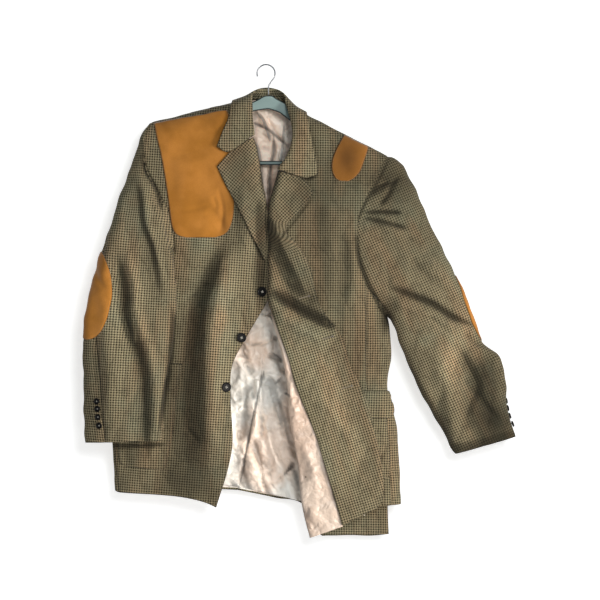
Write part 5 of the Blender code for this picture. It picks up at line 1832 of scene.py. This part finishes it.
def thread_mesh(radius, thick):
    """Two crossing strands of three threads each through the four holes."""
    made = bmesh.new()
    reach = HOLE_OFFSET * radius * 1.414
    for turn in (pi / 4, -pi / 4):
        for shift in (-0.055, 0.0, 0.055):
            line = []
            for i in range(STRAND_STEPS):
                f = i / (STRAND_STEPS - 1) * 2 - 1
                x, y = f * reach, shift * radius
                line.append((x * cos(turn) - y * sin(turn), x * sin(turn) + y * cos(turn),
                             thick * (0.30 + 0.38 * (1 - f**4))))
            made.from_mesh(curve_mesh([line], dimensions="3D", bevel_depth=0.035 * radius,
                                      bevel_resolution=1, use_fill_caps=True))
    return made


def pour(source, into):
    """Adds one bmesh to another and frees it."""
    part = bpy.data.meshes.new("part")
    source.to_mesh(part)
    source.free()
    into.from_mesh(part)
    bpy.data.meshes.remove(part)


def set_on(mesh, centre, normal, spin):
    """Turns a mesh made face up so that it faces along normal at centre, in metres."""
    turn = Vector((0, 0, 1)).rotation_difference(normal).to_matrix().to_4x4()
    mesh.transform(Matrix.Translation(centre * MM) @ turn @ Matrix.Rotation(spin, 4, "Z")
                   @ Matrix.Scale(MM, 4))
    return mesh


FRONT_BUTTONS = [(-7, -467), (-50, -561), (-81, -662)]
CUFF_BUTTONS_RIGHT = [(10.80, 50), (11.05, 51), (11.29, 52), (11.53, 53)]
CUFF_BUTTONS_LEFT = [(11.72, -3), (11.98, -3), (12.26, -3), (12.56, -3)]
all_threads = bmesh.new()


def sew_button(node, size, centre, normal, spin):
    joined(node + "_horn", set_on(button_mesh(*size), centre, normal, spin), HORN, "button_horn", node)
    pour(set_on(thread_mesh(*size), centre, normal, spin), all_threads)


for number, (x, z) in enumerate(FRONT_BUTTONS, 1):
    s, t = place_on(front_right_cut, x, z)
    centre, normal = spot(front_right_cut, s, t, front_hang)
    sew_button(f"front_button_{number}", FRONT_BUTTON, centre + normal * 0.3, normal, 0.3 * number)
for side, surface, hang, rings, buttons, flip in (
        ("right", right_sleeve, right_hang, SLEEVE_RIGHT, CUFF_BUTTONS_RIGHT, False),
        ("left", left_sleeve, left_hang, SLEEVE_LEFT, CUFF_BUTTONS_LEFT, True)):
    def round_sleeve(s, t, surface=surface):
        return surface(s * 100, t)
    for number, (ring, degrees) in enumerate(buttons, 1):
        centre, normal = spot(round_sleeve, degrees / 100, ring / (len(rings) - 1), hang, flip=flip)
        sew_button(f"cuff_button_{side}_{number}", CUFF_BUTTON, centre + normal * 0.2, normal, 0.4 * number)
joined("button_threads", all_threads, GREY_THREAD, "button_horn")
print("buttons:", len(FRONT_BUTTONS) + len(CUFF_BUTTONS_RIGHT) + len(CUFF_BUTTONS_LEFT))

# %% [markdown]
# ## The hanger
# A flat moulded plate: two arms that slope to the shoulders, and a bar, round one opening. Its outline
# is two flat curves filled between them, and the curve's own bevel rounds the moulded edges. The hook
# is a bent wire with a rounded tip.

# %% Hanger frame and hook
PLATE = 6.0
WIRE = 1.5
HOOK_RADIUS = 17.0 + WIRE
ARM_DROP = 3.4
EDGE_ROUND = 2.4


def rounded(points, radius):
    """An outline with each corner cut by a short arc."""
    result = []
    count = len(points)
    for i in range(count):
        here = Vector(points[i])
        before = Vector(points[i - 1]) - here
        after = Vector(points[(i + 1) % count]) - here
        cut = min(radius, before.length / 2.2, after.length / 2.2)
        a = here + before.normalized() * cut
        b = here + after.normalized() * cut
        for f in np.linspace(0, 1, 7):
            x, y = a * (1 - f) ** 2 + here * 2 * f * (1 - f) + b * f * f
            result.append((x, y, 0))
    return result


FLAT_ENOUGH = 0.985


def arm_height(x):
    return float(shoulder_top(np.float64(x))) - ARM_DROP


def hanger_plate():
    tip_right, tip_left = -208, 214
    bar_top, bar_bottom = -197, -206
    outside = [(-3, -62), (13, -62), (22, -69), (36, -76), (82, arm_height(82)),
               (tip_left - 4, arm_height(tip_left - 4)), (tip_left + 2, -190), (tip_left - 6, bar_bottom),
               (tip_right + 6, bar_bottom), (tip_right - 4, -150), (tip_right, arm_height(tip_right)),
               (-56, arm_height(-56)), (-30, -77), (-14, -69)]
    inside = [(5, -90), (28, -98), (54, -118), (176, -187), (180, bar_top), (tip_right + 13, bar_top),
              (tip_right + 9, -150), (tip_right + 22, -140), (-26, -95)]
    made = bmesh.new()
    made.from_mesh(curve_mesh([rounded(outside, 8), rounded(inside, 6)], dimensions="2D",
                              fill_mode="BOTH", extrude=PLATE / 2 - EDGE_ROUND, bevel_depth=EDGE_ROUND,
                              bevel_resolution=3, offset=-EDGE_ROUND))
    bmesh.ops.remove_doubles(made, verts=made.verts, dist=0.001)
    made.transform(Matrix.Scale(MM, 4) @ Matrix.Rotation(pi / 2, 4, "X"))
    made.normal_update()
    # sides and rounded edges take the dark second finish, a painted shadow round the plate
    for face in made.faces:
        face.material_index = int(abs(face.normal.y) < FLAT_ENOUGH)
    return made


STEM = [(5, -61.6), (5, -57), (5, -52), (5, -47), (5.4, -43.5), (6.6, -40), (9, -36)]
BEND_STEPS = 34


def hook_wire():
    centre = -(HOOK_RADIUS - WIRE)
    path = [(x, 0, z) for x, z in STEM]
    for step in range(BEND_STEPS + 1):
        turn = radians(-45 + step * 240 / BEND_STEPS)
        path.append((HOOK_RADIUS * cos(turn), 0, centre + HOOK_RADIUS * sin(turn)))
    made = bmesh.new()
    made.from_mesh(curve_mesh([path], dimensions="3D", bevel_depth=WIRE, bevel_resolution=4,
                              use_fill_caps=True))
    tip = bmesh.new()
    bmesh.ops.create_uvsphere(tip, u_segments=16, v_segments=10, radius=WIRE * 1.02,
                              matrix=Matrix.Translation(path[-1]))
    pour(tip, made)
    bmesh.ops.remove_doubles(made, verts=made.verts, dist=0.001)
    made.transform(Matrix.Scale(MM, 4))
    return made


plate = joined("hanger_plate", hanger_plate(), TEAL, "hanger_teal", "hanger_frame")
plate.data.materials.append(TEAL_PAINTED_SHADOW)
joined("hanger_wire", hook_wire(), STEEL, "hook_steel", "hanger_hook")
print("hanger:", len(plate.data.polygons), "faces in its plate")

# %% [markdown]
# ## The cut of each cloth
# The size each cloth piece was cut to, its own smooth surface before it was hung, is printed.


for name, cut in flat_cuts.items():
    area = min(cut.area, cut.width * cut.length)
    max(area, 0.3 * cut.width * cut.length)
    print(f"{name}: {cut.width:.3f} x {cut.length:.3f} m, {area:.4f} m2")

# %% [markdown]
# ## Studio
# The jacket hangs in front of a white wall. The main lamp stands low on the right, so that folds and
# edges throw their shade up and to the left, with a weaker lamp in front and one behind for the views
# of the back. The wall is one-sided and throws no shade, so that the back can be looked at too. It glows
# a little and the main lamp is kept off it, so it stays evenly pale. The floor lies well below.

# %% Wall, floor, lamps and camera
LOOK_AT = Vector((0.070, -0.030, -0.484))
VIEW_WIDTH = 1.230
CAMERA_DISTANCE = 5.0
SENSOR = 36.0
WALL_BEHIND = 0.066
FLOOR_BELOW = -1.32
WALL_TOP = 1.8


def sheet_of(name, corners, finish):
    mesh = bpy.data.meshes.new(name)
    mesh.from_pydata(corners, [], [(0, 1, 2, 3)])
    mesh.materials.append(finish)
    obj = placed(name, mesh)
    return obj


def stage_white(name, one_sided, white, glow):
    finish = Finish(name, Roughness=0.9, Emission_Color=(1, 1, 1, 1), Emission_Strength=glow)
    speck = finish.noise(finish.objects(), 3.0, 2.0)
    paler = white + 0.02
    finish.set(Base_Color=finish.blend((white, white, white, 1), (paler, paler, paler, 1), speck))
    if one_sided:
        side = finish.node("ShaderNodeNewGeometry", out="Backfacing")
        clear = finish.node("ShaderNodeBsdfTransparent")
        solid = Socket(finish, finish.shader.outputs[0])
        both = finish.node("ShaderNodeMixShader", {}, {0: side, 1: solid, 2: clear})
        finish.feed(finish.nodes["Material Output"].inputs["Surface"], both)
    return finish.material


wall = sheet_of("wall", [(-3, WALL_BEHIND, FLOOR_BELOW), (3.2, WALL_BEHIND, FLOOR_BELOW),
                         (3.2, WALL_BEHIND, WALL_TOP), (-3, WALL_BEHIND, WALL_TOP)],
                stage_white("wall_white", True, 0.9, 0.55))
wall.visible_diffuse = False
wall.visible_glossy = False
wall.visible_shadow = False
wall.visible_transmission = False
sheet_of("floor", [(-6, -6, FLOOR_BELOW), (6, -6, FLOOR_BELOW), (6, 6, FLOOR_BELOW), (-6, 6, FLOOR_BELOW)],
         stage_white("floor_white", False, 0.22, 0.4))


def lamp(name, place, size, power, tint, spares=None):
    """A soft disc of light. It can be flagged off one piece, as a studio lamp is kept off the backdrop."""
    light = bpy.data.lights.new(name, "AREA")
    light.shape = "DISK"
    light.size = size
    light.energy = power
    light.color = tint
    obj = placed(name, light)
    obj.location = Vector(place)
    obj.rotation_euler = (LOOK_AT - obj.location).to_track_quat("-Z", "Y").to_euler()
    if spares:
        flagged = bpy.data.collections.new(name + "_spares")
        flagged.objects.link(bpy.data.objects[spares])
        flagged.collection_objects[0].light_linking.link_state = "EXCLUDE"
        obj.light_linking.receiver_collection = flagged


lamp("key", (2.96, -2.29, -1.0), 1.0, 155, (1.0, 0.94, 0.87), spares="wall")
lamp("front", (0.92, -3.95, 0.5), 1.3, 74, (0.97, 1.0, 1.0))
lamp("behind", (-1.5, 3.2, 1.2), 2.4, 120, (1.0, 0.98, 0.95))

world = bpy.data.worlds.new("studio")
world.use_nodes = True
bpy.context.scene.world = world
sky = Tree(world.node_tree)
seen = sky.node("ShaderNodeLightPath", out="Is Camera Ray")
AMBIENT = 0.2
background = sky.nodes["Background"]
background.inputs["Color"].default_value = (0.93, 0.98, 1.0, 1.0)
sky.feed(background.inputs["Strength"], seen * (1.02 - AMBIENT) + AMBIENT)

camera = bpy.data.cameras.new("camera")
camera.sensor_width = SENSOR
camera.lens = SENSOR * CAMERA_DISTANCE / VIEW_WIDTH
eye = placed("camera", camera)
eye.location = LOOK_AT + Vector((0, -CAMERA_DISTANCE, 0))
eye.rotation_euler = (pi / 2, 0, 0)
bpy.context.scene.camera = eye
bpy.context.scene.view_settings.view_transform = "Standard"

# %% [markdown]
# ## Finish


print("boxes written")
